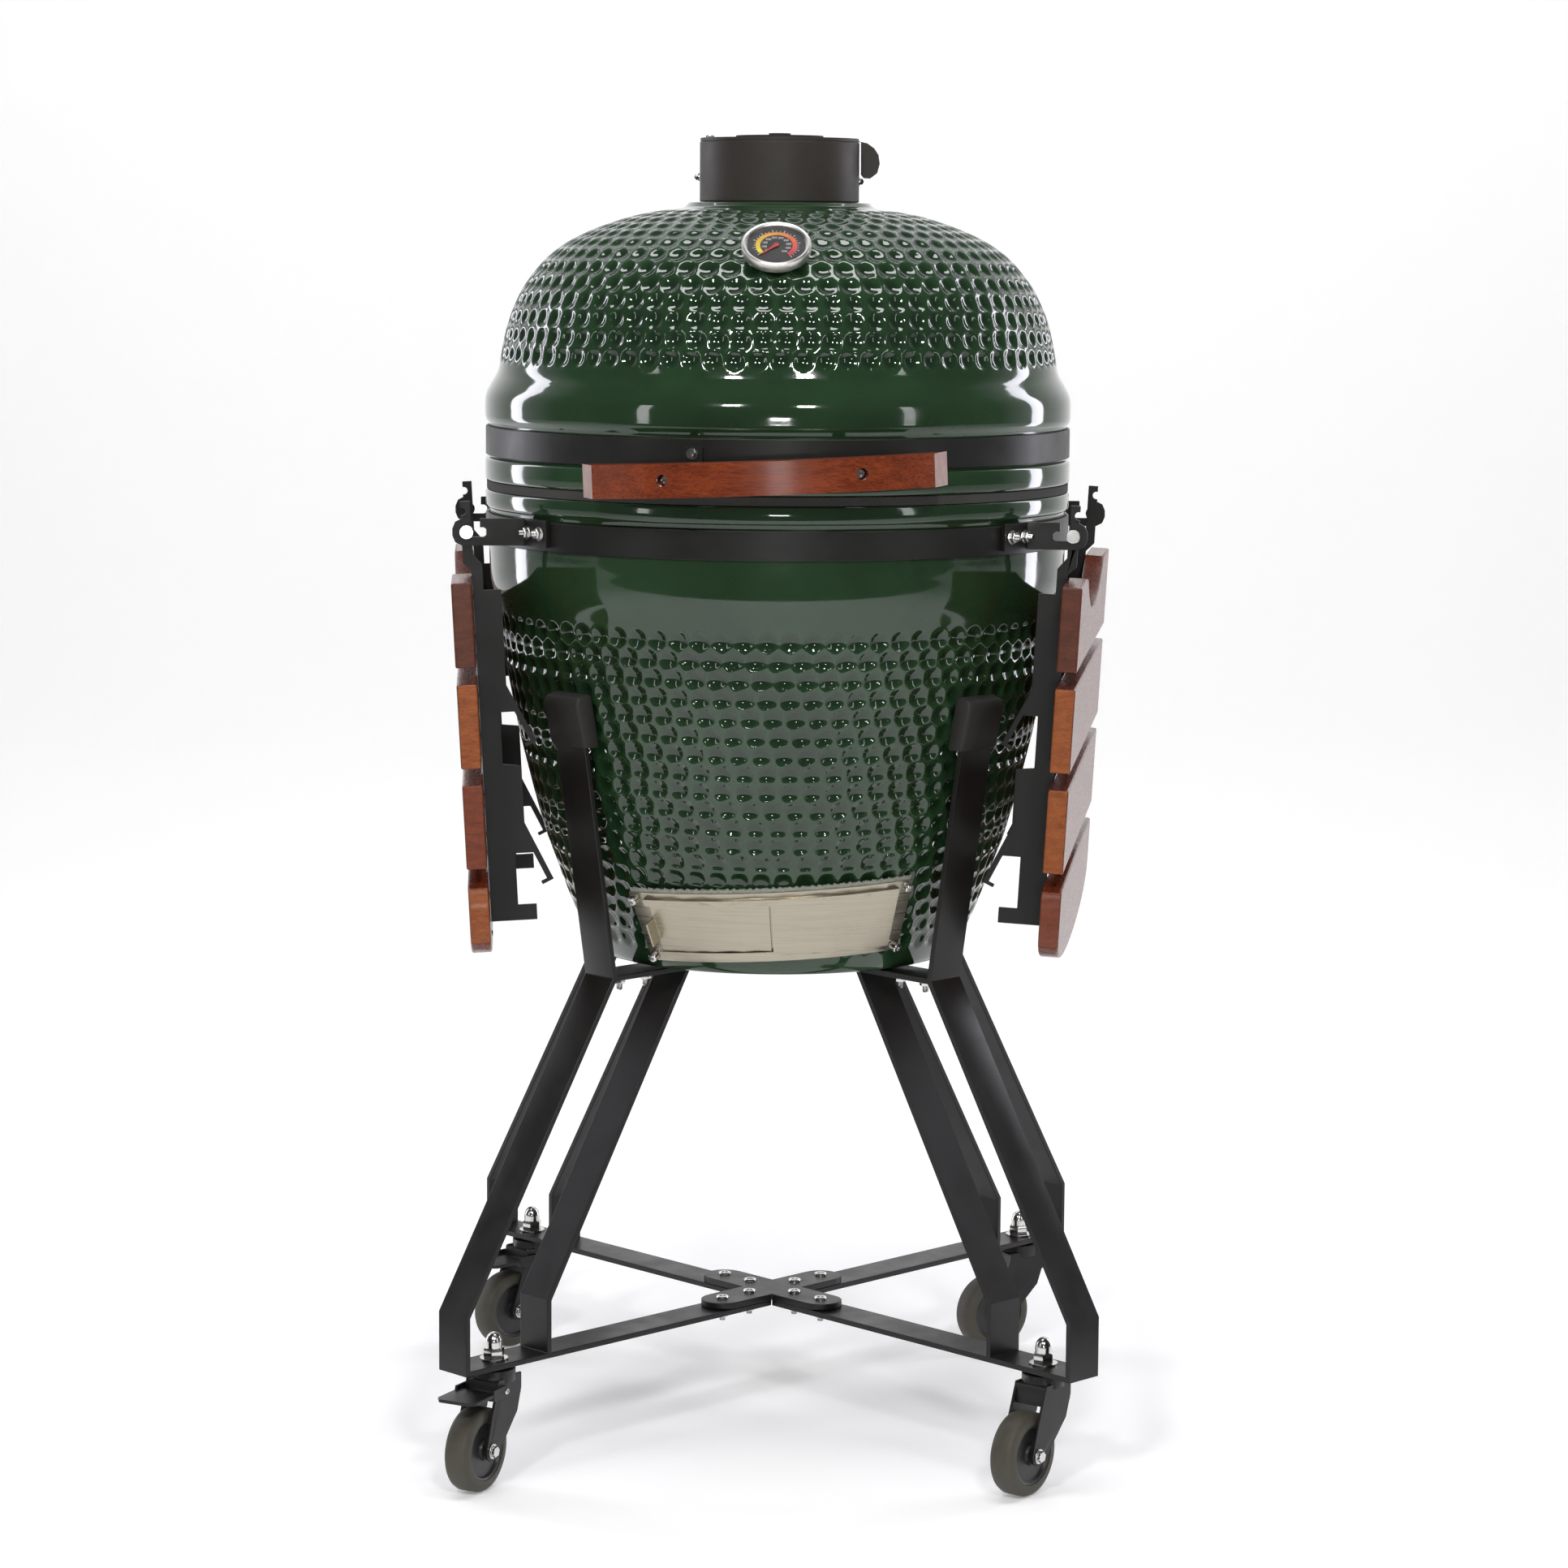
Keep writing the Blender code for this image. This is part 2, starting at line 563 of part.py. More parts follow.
def handle(lid):
    """The wooden handle, and the steel strap and standoffs that carry it."""
    tilt = (Matrix.Translation((0.0, -HANDLE_RADIUS, HANDLE_Z))
            @ Matrix.Rotation(-HANDLE_TILT, 4, "Y")
            @ Matrix.Translation((0.0, HANDLE_RADIUS, -HANDLE_Z)))
    inner = HANDLE_RADIUS - HANDLE_DEPTH / 2
    outer = HANDLE_RADIUS + HANDLE_DEPTH / 2
    low, high = HANDLE_Z - HANDLE_HEIGHT / 2, HANDLE_Z + HANDLE_HEIGHT / 2
    skew = math.radians(2.2)                        # its ends are cut to face forward

    def section(angle):
        lean = skew * (angle - HANDLE_CENTRE) / HANDLE_HALF
        points = []
        for radius, height in ((inner, low), (outer, low), (outer, high), (inner, high)):
            turn = angle + (lean if radius == inner else -lean)
            points.append((radius * math.cos(turn), radius * math.sin(turn), height))
        return points
    grip = to_object("handle", sweep(section, steps(HANDLE_CENTRE - HANDLE_HALF,
                                                    HANDLE_CENTRE + HANDLE_HALF)), "wood")
    grip.matrix_world = tilt
    bpy.context.view_layer.update()
    grip.data.transform(tilt)
    grip.matrix_world = Matrix.Identity(4)
    strap = to_object("handle_bracket", ring_sector(STRAP_INNER + 0.0006, STRAP_OUTER, 0.889,
                                                    0.909, math.radians(-114.375),
                                                    math.radians(-69.375)))
    lug = ring_sector(STRAP_INNER, STRAP_OUTER - 0.0005, 0.906, 0.925, math.radians(-106.9),
                      math.radians(-103.1))
    posts, holes = [to_object("lug", lug)], []
    for side in (-1, 1):
        angle = HANDLE_CENTRE + side * math.asin(HANDLE_SCREW / HANDLE_RADIUS)
        rise = HANDLE_Z + side * HANDLE_SCREW * math.sin(HANDLE_TILT)
        for radius, start, stop, kind in ((0.007, 0.2715, inner - 0.0012, posts),
                                          (0.00525, outer - 0.014, outer + 0.01, holes),
                                          (0.0025, inner - 0.01, outer, holes)):
            tool = to_object("round", rod(radius, start, stop, "X"))
            tool.matrix_world = (Matrix.Translation((0.0, 0.0, rise))
                                 @ Matrix.Rotation(angle, 4, "Z"))
            kind.append(tool)
    combine(grip, holes, "DIFFERENCE")
    combine(strap, posts)
    for piece in (grip, strap):
        shade(piece, 30)
        hang(piece, lid)


def cart():
    """Four bent bar frames on the diagonals, their pads and the two cross plates."""
    half = BAR_WIDTH / 2
    wedge = [(0.0006, 0.0), (0.0306, 0.030), (0.5, 0.030), (0.5, -0.030), (0.0306, -0.030)]
    frame = to_object("cart_frame", prism(strip(OUTER_BAR, BAR_THICK), -half, half))
    combine(frame, [to_object("bar", prism(strip(path, BAR_THICK), -half, half))
                    for path in (INNER_BAR, TOP_BAR)])
    combine(frame, [to_object("mitre", prism(wedge, 0.05, 0.8, "XY"))], "INTERSECT")
    stem_hole = to_object("stem_hole", rod(STEM_HOLE_RADIUS, 0.10, 0.12, "Z",
                                           (CASTER_RADIUS, 0.0)))
    combine(frame, [stem_hole], "DIFFERENCE")
    pad_half = PAD_WIDTH / 2
    pad = to_object("cradle_pad", prism(PAD_SECTION, -pad_half, pad_half), "grey_rubber")
    soften = pad.modifiers.new("soften", "BEVEL")
    soften.width = 0.003
    soften.segments = 2
    soften.limit_method = "ANGLE"
    soften.angle_limit = math.radians(50)
    pocket_path = [(0.2590 - 0.041, 0.4425), (0.2590 + 0.00002, 0.6904)]
    pocket = to_object("pocket", prism(strip(pocket_path, BAR_THICK + 2 * GAP), -half - GAP,
                                       half + GAP))
    combine(pad, [pocket], "DIFFERENCE")
    for corner, heading in CORNERS.items():
        for pattern, name in ((frame, "cart_frame_"), (pad, "cradle_pad_")):
            copy = bpy.data.objects.new(name + corner, pattern.data)
            bpy.context.scene.collection.objects.link(copy)
            copy.rotation_euler.z = math.radians(heading)
    bpy.data.objects.remove(frame)
    bpy.data.objects.remove(pad)
    outline = []
    for k in range(4):
        heading = 45.0 + 90.0 * k
        middle = (CROSS_REACH * math.cos(math.radians(heading)),
                  CROSS_REACH * math.sin(math.radians(heading)))
        outline += arc(middle, CROSS_LOBE, heading - 90, heading + 90, 10)
        inner = CROSS_LOBE * math.sqrt(2)
        outline.append((inner * math.cos(math.radians(heading + 45)),
                        inner * math.sin(math.radians(heading + 45))))
    for name, low, high in (("cross_plate", 0.1123, 0.1183), ("upper_cross_plate", 0.4337,
                                                              0.4397)):
        to_object(name, prism(outline, low, high, "XY"), "black_coat")


def casters():
    """Swivel forks with fused axles, wheels and, on two of them, brake pedals."""
    disc = [(0.0, 0.0935), (0.0195, 0.0935), (0.0195, 0.1045), (0.012, 0.1066),
            (STEM_RADIUS, 0.1066), (STEM_RADIUS, 0.124), (0.0, 0.124)]
    fork = to_object("fork", revolve(disc, 16))
    sides = [prism(FORK_SIDE, side * 0.01575 - 0.00125, side * 0.01575 + 0.00125)
             for side in (-1, 1)]
    bridge = box((-0.0188, -0.0165, 0.0790), (0.0205, 0.0165, 0.0970))
    axle = rod(AXLE_RADIUS, -0.0195, 0.0195, "Y", (TRAIL, WHEEL_RADIUS), 12)
    combine(fork, [to_object("side", piece) for piece in sides + [bridge, axle]])
    shade(fork, 30)
    half = WHEEL_HALF
    section = [(AXLE_RADIUS + 0.0005, -half), (0.010, -half + 0.002), (0.026, -half + 0.002),
               (0.028, -half), (0.0355, -half + 0.001), (WHEEL_RADIUS, -half + 0.005),
               (WHEEL_RADIUS, half - 0.005), (0.0355, half - 0.001), (0.028, half),
               (0.026, half - 0.002), (0.010, half - 0.002), (AXLE_RADIUS + 0.0005, half)]
    wheel = to_object("wheel", revolve(section, 24), "tread", 35)
    pedal = brake_pedal()
    for corner, heading in CORNERS.items():
        place = (CASTER_RADIUS * math.cos(math.radians(heading)),
                 CASTER_RADIUS * math.sin(math.radians(heading)))
        turn = Matrix.Rotation(math.radians(TRAIL_HEADING[corner]), 4, "Z")
        stand = Matrix.Translation((*place, 0.0)) @ turn
        made = copy_of(fork, "caster_fork_" + corner, stand)
        axle_place = Matrix.Translation((TRAIL, 0.0, WHEEL_RADIUS))
        upright = Matrix.Rotation(math.radians(90), 4, "X")
        hang(copy_of(wheel, "caster_wheel_" + corner, stand @ axle_place @ upright), made)
        if corner in BRAKED:
            pivot = Matrix.Translation((PEDAL_PIVOT[0], 0.0, PEDAL_PIVOT[1]))
            hang(copy_of(pedal, "brake_pedal_" + corner, stand @ pivot), made)
    for pattern in (fork, wheel, pedal):
        bpy.data.objects.remove(pattern)


def brake_pedal():
    """A pressed plate over the wheel with an arm down each side of the fork."""
    start, end = 0.0150, 0.056
    half = PEDAL_HALF
    plate = [(start, -half), (end - 0.006, -half), (end, -half + 0.005), (end, half - 0.005),
             (end - 0.006, half), (start, half)]
    pedal = to_object("pedal", prism(plate, -0.0015, 0.0015, "XY"))
    arm = 0.0023
    inner = 0.0180
    arms = [box((-0.003, inner, -0.005), (0.021, inner + arm, 0.005)),
            box((-0.003, -inner - arm, -0.005), (0.021, -inner, 0.005))]
    combine(pedal, [to_object("arm", piece) for piece in arms])
    shade(pedal, 30)
    return pedal


def sorted_pair(first, second):
    return tuple(sorted((first, second)))


def copy_of(pattern, name, place):
    """Another object with the same mesh."""
    made = bpy.data.objects.new(name, pattern.data)
    bpy.context.scene.collection.objects.link(made)
    made.matrix_world = place
    return made


def bracket_outline():
    """The side plate of a shelf, with its notch for the stud as an arc."""
    out, up, radius = NOTCH
    edge = BRACKET_OUTLINE[0][0]
    rise = math.degrees(math.acos((edge - out) / radius))
    notch = arc((out, up), radius, 360 - rise, rise, 10)
    return BRACKET_OUTLINE + notch


def slat_outline(number):
    """A slat seen from outside: (along the pin line, height)."""
    top = SLAT_TOPS[number]
    half = SLAT_HALF
    if number == 3:
        side = END_SLAT_SIDE
        drop = END_SLAT_MIDDLE - side
        count = 20
        bulge = [(half * math.cos(math.pi * k / count), top - side
                  - drop * math.sin(math.pi * k / count) ** 0.8) for k in range(1, count)]
        ends = [(-half, top - side), (-half, top - 0.008), (-half + 0.0025, top - 0.0025),
                (-half + 0.008, top), (half - 0.008, top), (half - 0.0025, top - 0.0025),
                (half, top - 0.008), (half, top - side)]
        return ends + bulge
    bottom = top - SLAT_HEIGHT
    outline = [(-half, bottom), (-half, top)]
    if number == 0:
        radius = (CUT_CHORD ** 2 / 4 + CUT_DEPTH ** 2) / (2 * CUT_DEPTH)
        swing = math.degrees(math.asin(CUT_CHORD / 2 / radius))
        outline += arc((0.0, top - CUT_DEPTH + radius), radius, 270 - swing, 270 + swing, 16)
    return outline + [(half, top), (half, bottom)]


def shelves():
    """Both hanging shelves with the plates that carry them."""
    for name, (x, turn, front) in SHELVES.items():
        stand = Matrix.Translation((x, 0.0, PIN_Z)) @ Matrix.Rotation(turn, 4, "Z")
        tilt = stand @ Matrix.Rotation(HANG_TILT, 4, "Y")
        slide = joint_empty("shelf_slide_" + name, (x, 0.0, PIN_Z), Matrix.Rotation(turn, 4, "Z"))
        swing = joint_empty("shelf_swing_" + name, (x, 0.0, PIN_Z), Matrix.Rotation(turn, 4, "Z"),
                            slide)
        for end, side in (("front", front), ("rear", -front)):
            hinge_plate("shelf_hinge_" + end + "_" + name, side, stand)
            low, high = sorted_pair(side * BRACKET_PLATE[0], side * BRACKET_PLATE[1])
            bracket = to_object("shelf_bracket_" + end + "_" + name,
                                prism(bracket_outline(), low, high))
            if end == "front":
                hole = to_object("hole", rod(PIN_HOLE_RADIUS, low - 0.01, high + 0.01, "Y"))
                combine(bracket, [hole], "DIFFERENCE")
                pin = shelf_pin("shelf_pin_" + name, side, 0.1500)
                pin.matrix_world = stand
                hang(pin, slide)
            else:
                combine(bracket, [shelf_pin("pin", side, 0.1550)])
            bracket.matrix_world = tilt
            hang(bracket, swing)
        for number in range(4):
            board = prism(slat_outline(number), SLAT_INNER,
                          SLAT_INNER + SLAT_THICK, "YZ")
            slat = to_object("shelf_slat_%d_%s" % (number + 1, name), board, "wood")
            slat.matrix_world = tilt
            hang(slat, swing)


def shelf_pin(name, side, near):
    """A pin along the pin line, from near to past the hinge plate, with a head at its end."""
    far = 0.1655
    head = 0.0062
    pin = to_object(name, rod(PIN_RADIUS, *sorted_pair(side * near, side * far), "Y"), "steel")
    heads = [to_object("head", rod(head, *sorted_pair(side * 0.1626, side * far), "Y"), "steel")]
    if near < BRACKET_PLATE[0]:
        heads.append(to_object("head", rod(head, *sorted_pair(side * near, side * 0.1529), "Y"),
                               "steel"))
    combine(pin, heads)
    return pin


def hinge_plate(name, side, stand):
    """A slotted plate square to the pin line, bent round on to the base band."""
    low, high = sorted_pair(side * HINGE_PLATE[0], side * HINGE_PLATE[1])
    plate = to_object(name, prism(HINGE_PLATE_OUTLINE, low, high))
    out, up, radius = STUD
    stud = rod(radius, *sorted_pair(side * 0.1500, side * 0.1600), "Y", (out, up), 12)
    combine(plate, [to_object("stud", stud)])
    plate.data.transform(stand)
    middle = (HINGE_PLATE[0] + HINGE_PLATE[1]) / 2
    outer = (stand @ Vector((0.0, side * middle, 0.0))).xy
    inward = (stand.to_3x3() @ Vector((-1.0, 0.0, 0.0))).xy
    along = outer.dot(inward)
    strap_radius = (STRAP_INNER + STRAP_OUTER) / 2
    chord = math.sqrt(along ** 2 - outer.length_squared + strap_radius ** 2)
    reach = outer - inward * (along + chord)
    heading = math.atan2(reach.y, reach.x)
    away = math.copysign(1.0, reach.x * reach.y)     # round towards the body's front or rear
    toward = heading + away * math.radians(7.5)
    back = heading - away * math.radians(0.4)
    first, last = sorted_pair(toward, back)
    strap = ring_sector(STRAP_INNER, STRAP_OUTER, PIN_Z - 0.012, PIN_Z + 0.012, first, last)
    trim = to_object("trim", revolve([(0.0, 0.80), (STRAP_INNER + 0.0008, 0.80),
                                      (STRAP_INNER + 0.0008, 0.89), (0.0, 0.89)]))
    combine(plate, [trim], "DIFFERENCE")
    combine(plate, [to_object("strap", strap)])
    shade(plate, 30)


def build():
    """Clear the scene and model every piece."""
    for thing in list(bpy.data.objects):
        bpy.data.objects.remove(thing, do_unlink=True)
    lid = joint_empty("lid_axis", (0.0, HINGE_Y, HINGE_Z))
    body_shells(lid)
    inside()
    draft()
    lid_hinge(lid)
    top_vent(lid)
    thermometer(lid)
    handle(lid)
    cart()
    casters()
    shelves()


build()
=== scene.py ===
"""Looks of the kamado grill: a dimpled glaze, lacquered wood, coated and plated steel.

Metres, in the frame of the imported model: +Z up, front towards -Y.
"""
import json
import math

import bmesh
import bpy
import numpy as np
from mathutils import Matrix, Vector


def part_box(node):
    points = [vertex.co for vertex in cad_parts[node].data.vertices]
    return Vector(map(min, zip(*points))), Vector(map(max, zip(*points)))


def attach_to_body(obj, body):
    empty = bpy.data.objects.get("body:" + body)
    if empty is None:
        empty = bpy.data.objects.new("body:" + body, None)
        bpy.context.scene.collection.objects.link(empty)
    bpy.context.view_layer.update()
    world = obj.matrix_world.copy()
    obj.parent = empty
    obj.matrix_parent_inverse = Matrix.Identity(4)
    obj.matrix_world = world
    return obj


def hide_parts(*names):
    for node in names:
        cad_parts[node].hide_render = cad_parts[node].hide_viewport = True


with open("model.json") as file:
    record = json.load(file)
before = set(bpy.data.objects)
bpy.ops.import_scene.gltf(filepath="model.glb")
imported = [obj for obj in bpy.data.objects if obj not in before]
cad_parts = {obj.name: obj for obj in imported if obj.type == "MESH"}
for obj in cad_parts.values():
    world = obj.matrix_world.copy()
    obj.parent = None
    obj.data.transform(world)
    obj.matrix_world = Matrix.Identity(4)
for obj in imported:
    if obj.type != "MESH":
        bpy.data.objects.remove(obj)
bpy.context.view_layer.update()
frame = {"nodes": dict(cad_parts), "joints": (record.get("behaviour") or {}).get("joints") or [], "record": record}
NODES = frame["nodes"]
TURN = 2 * math.pi
# where each leg stands, in degrees about +Z from +X
CORNERS = {"front_left": 225.0, "front_right": 315.0, "rear_left": 135.0, "rear_right": 45.0}
BRAKED = ("front_left", "rear_left")
BODY_OF = {node: body for body, nodes in frame["record"]["behaviour"]["bodies"].items()
           for node in nodes}
JOINTS = {joint["name"]: joint for joint in frame["joints"]}

# the ceramic's outlines as (radius, height) points, in the order of the shell's surface
BASE_OUTER = [(0.158, 0.447), (0.171, 0.452), (0.1914, 0.496), (0.2029, 0.527), (0.214, 0.557),
              (0.2229, 0.588), (0.2309, 0.619), (0.2382, 0.649), (0.2444, 0.680),
              (0.2500, 0.710), (0.2545, 0.740), (0.2585, 0.765), (0.2644, 0.7893),
              (0.2657, 0.810), (0.266, 0.826)]
BASE_RIM = [(0.266, 0.8565), (0.2672, 0.8585), (0.2684, 0.8595), (0.269, 0.8612),
            (0.269, 0.8725), (0.2684, 0.8738), (0.2672, 0.8743)]
BASE_INNER = [(0.250, 0.8743), (0.248, 0.872), (0.2447, 0.820), (0.2275, 0.695),
              (0.202, 0.588), (0.182, 0.527), (0.150, 0.469), (0.012, 0.469), (0.012, 0.447)]
LID_LIP = [(0.250, 0.883), (0.2675, 0.883), (0.2690, 0.8838), (0.2695, 0.8855),
           (0.2695, 0.9010), (0.2686, 0.9030), (0.2668, 0.9038), (0.266, 0.905),
           (0.266, 0.933), (0.2668, 0.9355), (0.2688, 0.9378), (0.2697, 0.942)]
LID_OUTER = [(0.2697, 0.942), (0.2697, 0.954), (0.2681, 0.9626), (0.2636, 0.9716),
             (0.2585, 0.9805), (0.2560, 0.9894), (0.2528, 1.0073), (0.2485, 1.0251),
             (0.2420, 1.043), (0.2325, 1.0608), (0.2190, 1.0785), (0.2100, 1.0874),
             (0.1985, 1.0963), (0.1838, 1.1048), (0.1637, 1.1136), (0.1370, 1.1225),
             (0.1150, 1.1272), (0.0950, 1.1302)]
LID_NECK = [(0.0885, 1.1312), (0.0855, 1.1330), (0.0840, 1.1350), (0.0825, 1.1360),
            (0.0800, 1.1362), (0.056, 1.1362), (0.055, 1.1350)]
LID_INNER = [(0.055, 1.110), (0.110, 1.106), (0.145, 1.098), (0.170, 1.087), (0.208, 1.057),
             (0.2325, 1.0073), (0.2487, 0.9405), (0.249, 0.884)]
COLUMNS = 840                             # mesh columns round a shell
ROW_STEP = 0.0020                         # mesh rows along a shell's outer curve
DIMPLE_RADIUS = 0.0090
DIMPLE_DEPTH = 0.0032
DIMPLE_ROW = 0.0172                       # from one row of dimples to the next
DIMPLE_PITCH = 0.0198                     # from one dimple to the next in its row
LID_DIMPLES = (0.985, 1.1295)             # heights between which the dimples lie
BASE_DIMPLES = (0.462, 0.768)


# ---------------------------------------------------------------- materials

class Paint:
    """A Principled material with helpers to wire procedural detail into it."""

    def __init__(self, name, colour, roughness, metallic=0.0, **sockets):
        self.material = bpy.data.materials.new(name)
        self.material.use_nodes = True
        self.tree = self.material.node_tree
        self.shader = self.tree.nodes["Principled BSDF"]
        self.set("Base Color", (*colour, 1.0))
        self.set("Roughness", roughness)
        self.set("Metallic", metallic)
        for socket, value in sockets.items():
            self.set(socket.replace("_", " "), value)

    def set(self, socket, value):
        self.shader.inputs[socket].default_value = value

    def node(self, kind, **values):
        made = self.tree.nodes.new(kind)
        for name, value in values.items():
            if name in made.inputs:
                made.inputs[name].default_value = value
            else:
                setattr(made, name, value)
        return made

    def link(self, source, target):
        self.tree.links.new(source, target)

    def noise(self, scale, detail=4.0, stretch=(1.0, 1.0, 1.0), rough=0.55):
        """Noise in the object's own metres, stretched along its axes."""
        place = self.node("ShaderNodeTexCoord")
        spread = self.node("ShaderNodeMapping")
        spread.inputs["Scale"].default_value = stretch
        self.link(place.outputs["Object"], spread.inputs["Vector"])
        made = self.node("ShaderNodeTexNoise", Scale=scale, Detail=detail, Roughness=rough)
        self.link(spread.outputs["Vector"], made.inputs["Vector"])
        return made.outputs["Fac"]

    def ramp(self, factor, stops):
        made = self.node("ShaderNodeValToRGB")
        elements = made.color_ramp.elements
        while len(elements) < len(stops):
            elements.new(0.5)
        for element, (place, colour) in zip(elements, stops):
            element.position = place
            element.color = (*colour, 1.0)
        self.link(factor, made.inputs["Fac"])
        return made.outputs["Color"]

    def colour(self, source):
        self.link(source, self.shader.inputs["Base Color"])
        return self

    def roughness(self, factor, low, high):
        made = self.node("ShaderNodeMapRange")
        made.inputs["From Min"].default_value = 0.3
        made.inputs["From Max"].default_value = 0.7
        made.inputs["To Min"].default_value = low
        made.inputs["To Max"].default_value = high
        self.link(factor, made.inputs["Value"])
        self.link(made.outputs["Result"], self.shader.inputs["Roughness"])
        return self

    def bump(self, height, strength, distance):
        made = self.node("ShaderNodeBump", Strength=strength, Distance=distance)
        self.link(height, made.inputs["Height"])
        self.link(made.outputs["Normal"], self.shader.inputs["Normal"])
        return self


def glaze():
    """Deep green glaze, with painted shade that darkens it in the dimples."""
    paint = Paint("green_glaze", (0.010, 0.030, 0.010), 0.07, Coat_Weight=0.45,
                  Coat_Roughness=0.03, Specular_IOR_Level=0.5)
    flow = paint.ramp(paint.noise(9.0, 3.0), [(0.35, (0.0125, 0.0325, 0.0130)),
                                              (0.65, (0.0185, 0.0480, 0.0195))])
    depth = paint.node("ShaderNodeAttribute", attribute_name="dimple_shade")
    mix = paint.node("ShaderNodeMix", data_type="RGBA")
    paint.link(depth.outputs["Fac"], mix.inputs[0])
    paint.link(flow, mix.inputs[6])
    # painted shade: the darker green that the dimples' depth mixes in
    mix.inputs[7].default_value = (0.0070, 0.0220, 0.0080, 1.0)
    paint.colour(mix.outputs[2])
    paint.roughness(paint.noise(60.0, 2.0), 0.05, 0.12)
    return paint.bump(paint.noise(70.0, 2.0), 0.05, 0.001).material


def coated(name, colour, roughness, grain=1400.0):
    """Powder coat: a satin colour with orange peel."""
    paint = Paint(name, colour, roughness, Specular_IOR_Level=0.34)
    lighter = tuple(1.35 * part for part in colour)
    paint.colour(paint.ramp(paint.noise(14.0, 5.0), [(0.35, colour), (0.7, lighter)]))
    paint.roughness(paint.noise(30.0, 4.0), roughness - 0.06, roughness + 0.06)
    return paint.bump(paint.noise(grain, 2.0), 0.16, 0.0004).material


def wood(name, dark, light, stretch, roughness=0.26):
    """Lacquered hardwood, its grain running along the axis with the small stretch."""
    paint = Paint(name, light, roughness, Coat_Weight=0.10, Coat_Roughness=0.14,
                  Specular_IOR_Level=0.27)
    broad = paint.noise(9.0, 6.0, stretch, 0.65)
    fine = paint.noise(55.0, 8.0, stretch, 0.7)
    mix = paint.node("ShaderNodeMath", operation="MULTIPLY_ADD")
    paint.link(fine, mix.inputs[0])
    mix.inputs[1].default_value = 0.55
    scaled = paint.node("ShaderNodeMath", operation="MULTIPLY")
    paint.link(broad, scaled.inputs[0])
    scaled.inputs[1].default_value = 0.5
    paint.link(scaled.outputs[0], mix.inputs[2])
    middle = tuple((a + b) / 2 for a, b in zip(dark, light))
    paint.colour(paint.ramp(mix.outputs[0], [(0.36, dark), (0.50, middle), (0.62, light)]))
    paint.roughness(fine, roughness - 0.05, roughness + 0.10)
    return paint.bump(fine, 0.10, 0.0005).material


def metal(name, colour, roughness, stretch=(1.0, 1.0, 1.0), scale=60.0):
    """Bare metal; a stretched noise brushes it."""
    paint = Paint(name, colour, roughness, 1.0)
    lines = paint.noise(scale, 5.0, stretch, 0.6)
    darker = tuple(0.82 * part for part in colour)
    paint.colour(paint.ramp(lines, [(0.3, darker), (0.7, colour)]))
    paint.roughness(lines, roughness - 0.05, roughness + 0.08)
    return paint.bump(lines, 0.05, 0.0002).material


def plain(name, colour, roughness, scale=120.0, strength=0.3, distance=0.0006):
    """A matte stuff with fine grain, such as rubber, felt or fire clay."""
    paint = Paint(name, colour, roughness)
    grain = paint.noise(scale, 6.0)
    darker = tuple(0.7 * part for part in colour)
    paint.colour(paint.ramp(grain, [(0.3, darker), (0.7, colour)]))
    paint.roughness(grain, roughness - 0.08, roughness + 0.05)
    return paint.bump(grain, strength, distance).material


def clear_glass():
    """The dial's window."""
    paint = Paint("dial_glass", (1.0, 1.0, 1.0), 0.02, Transmission_Weight=1.0, IOR=1.1)
    paint.set("Alpha", 0.25)
    return paint.bump(paint.noise(40.0), 0.01, 0.0002).material


# how a wood's grain is stretched along each axis
ALONG_X = (0.8, 14.0, 14.0)
ALONG_Y = (14.0, 0.8, 14.0)
END_GRAIN = (6.0, 6.0, 22.0)
CUT_GRAIN = (9.0, 9.0, 9.0)
BRUSHED = (1.0, 1.0, 60.0)

GLAZE = glaze()
COAT = coated("black_coat", (0.0085, 0.0080, 0.0073), 0.38)
IRON = coated("vent_iron", (0.026, 0.022, 0.0175), 0.50, 700.0)
CAST = coated("cast_iron", (0.022, 0.021, 0.020), 0.62, 420.0)
WOOD = wood("wood", (0.050, 0.008, 0.003), (0.165, 0.030, 0.010), ALONG_Y)
DARK_END = wood("wood_end_dark", (0.045, 0.014, 0.008), (0.110, 0.030, 0.014), END_GRAIN, 0.34)
RED_END = wood("wood_end_red", (0.085, 0.020, 0.009), (0.190, 0.044, 0.018), END_GRAIN, 0.34)
PALE_END = wood("wood_end_pale", (0.140, 0.032, 0.008), (0.300, 0.085, 0.020), END_GRAIN, 0.34)
SLAT_ENDS = {"left": (DARK_END, PALE_END, RED_END, PALE_END),     # from the top slat down
             "right": (DARK_END, PALE_END, PALE_END, RED_END)}
GRIP = wood("handle_wood", (0.070, 0.011, 0.004), (0.215, 0.040, 0.011), ALONG_X)
GRIP_END = wood("handle_end", (0.26, 0.15, 0.13), (0.40, 0.26, 0.23), CUT_GRAIN, 0.4)
STAINLESS = metal("stainless", (0.47, 0.43, 0.345), 0.30, BRUSHED, 14.0)
CHROME = metal("chrome", (0.70, 0.69, 0.67), 0.16)
BEZEL = metal("bezel_steel", (0.90, 0.88, 0.83), 0.32)
RUBBER = plain("pad_rubber", (0.016, 0.015, 0.013), 0.62)
TREAD = plain("tread", (0.062, 0.056, 0.040), 0.62, 90.0)
HUB = plain("hub_plastic", (0.020, 0.020, 0.020), 0.42, 200.0, 0.15)
FELT = plain("felt", (0.050, 0.048, 0.045), 0.95, 500.0, 0.6)
SEAL = plain("draft_seal", (0.30, 0.31, 0.26), 0.95, 260.0, 0.9, 0.0012)
CLAY = plain("fire_clay", (0.50, 0.45, 0.38), 0.88, 150.0, 0.5)
DIAL = plain("dial_face", (0.022, 0.022, 0.022), 0.55, 300.0, 0.05)
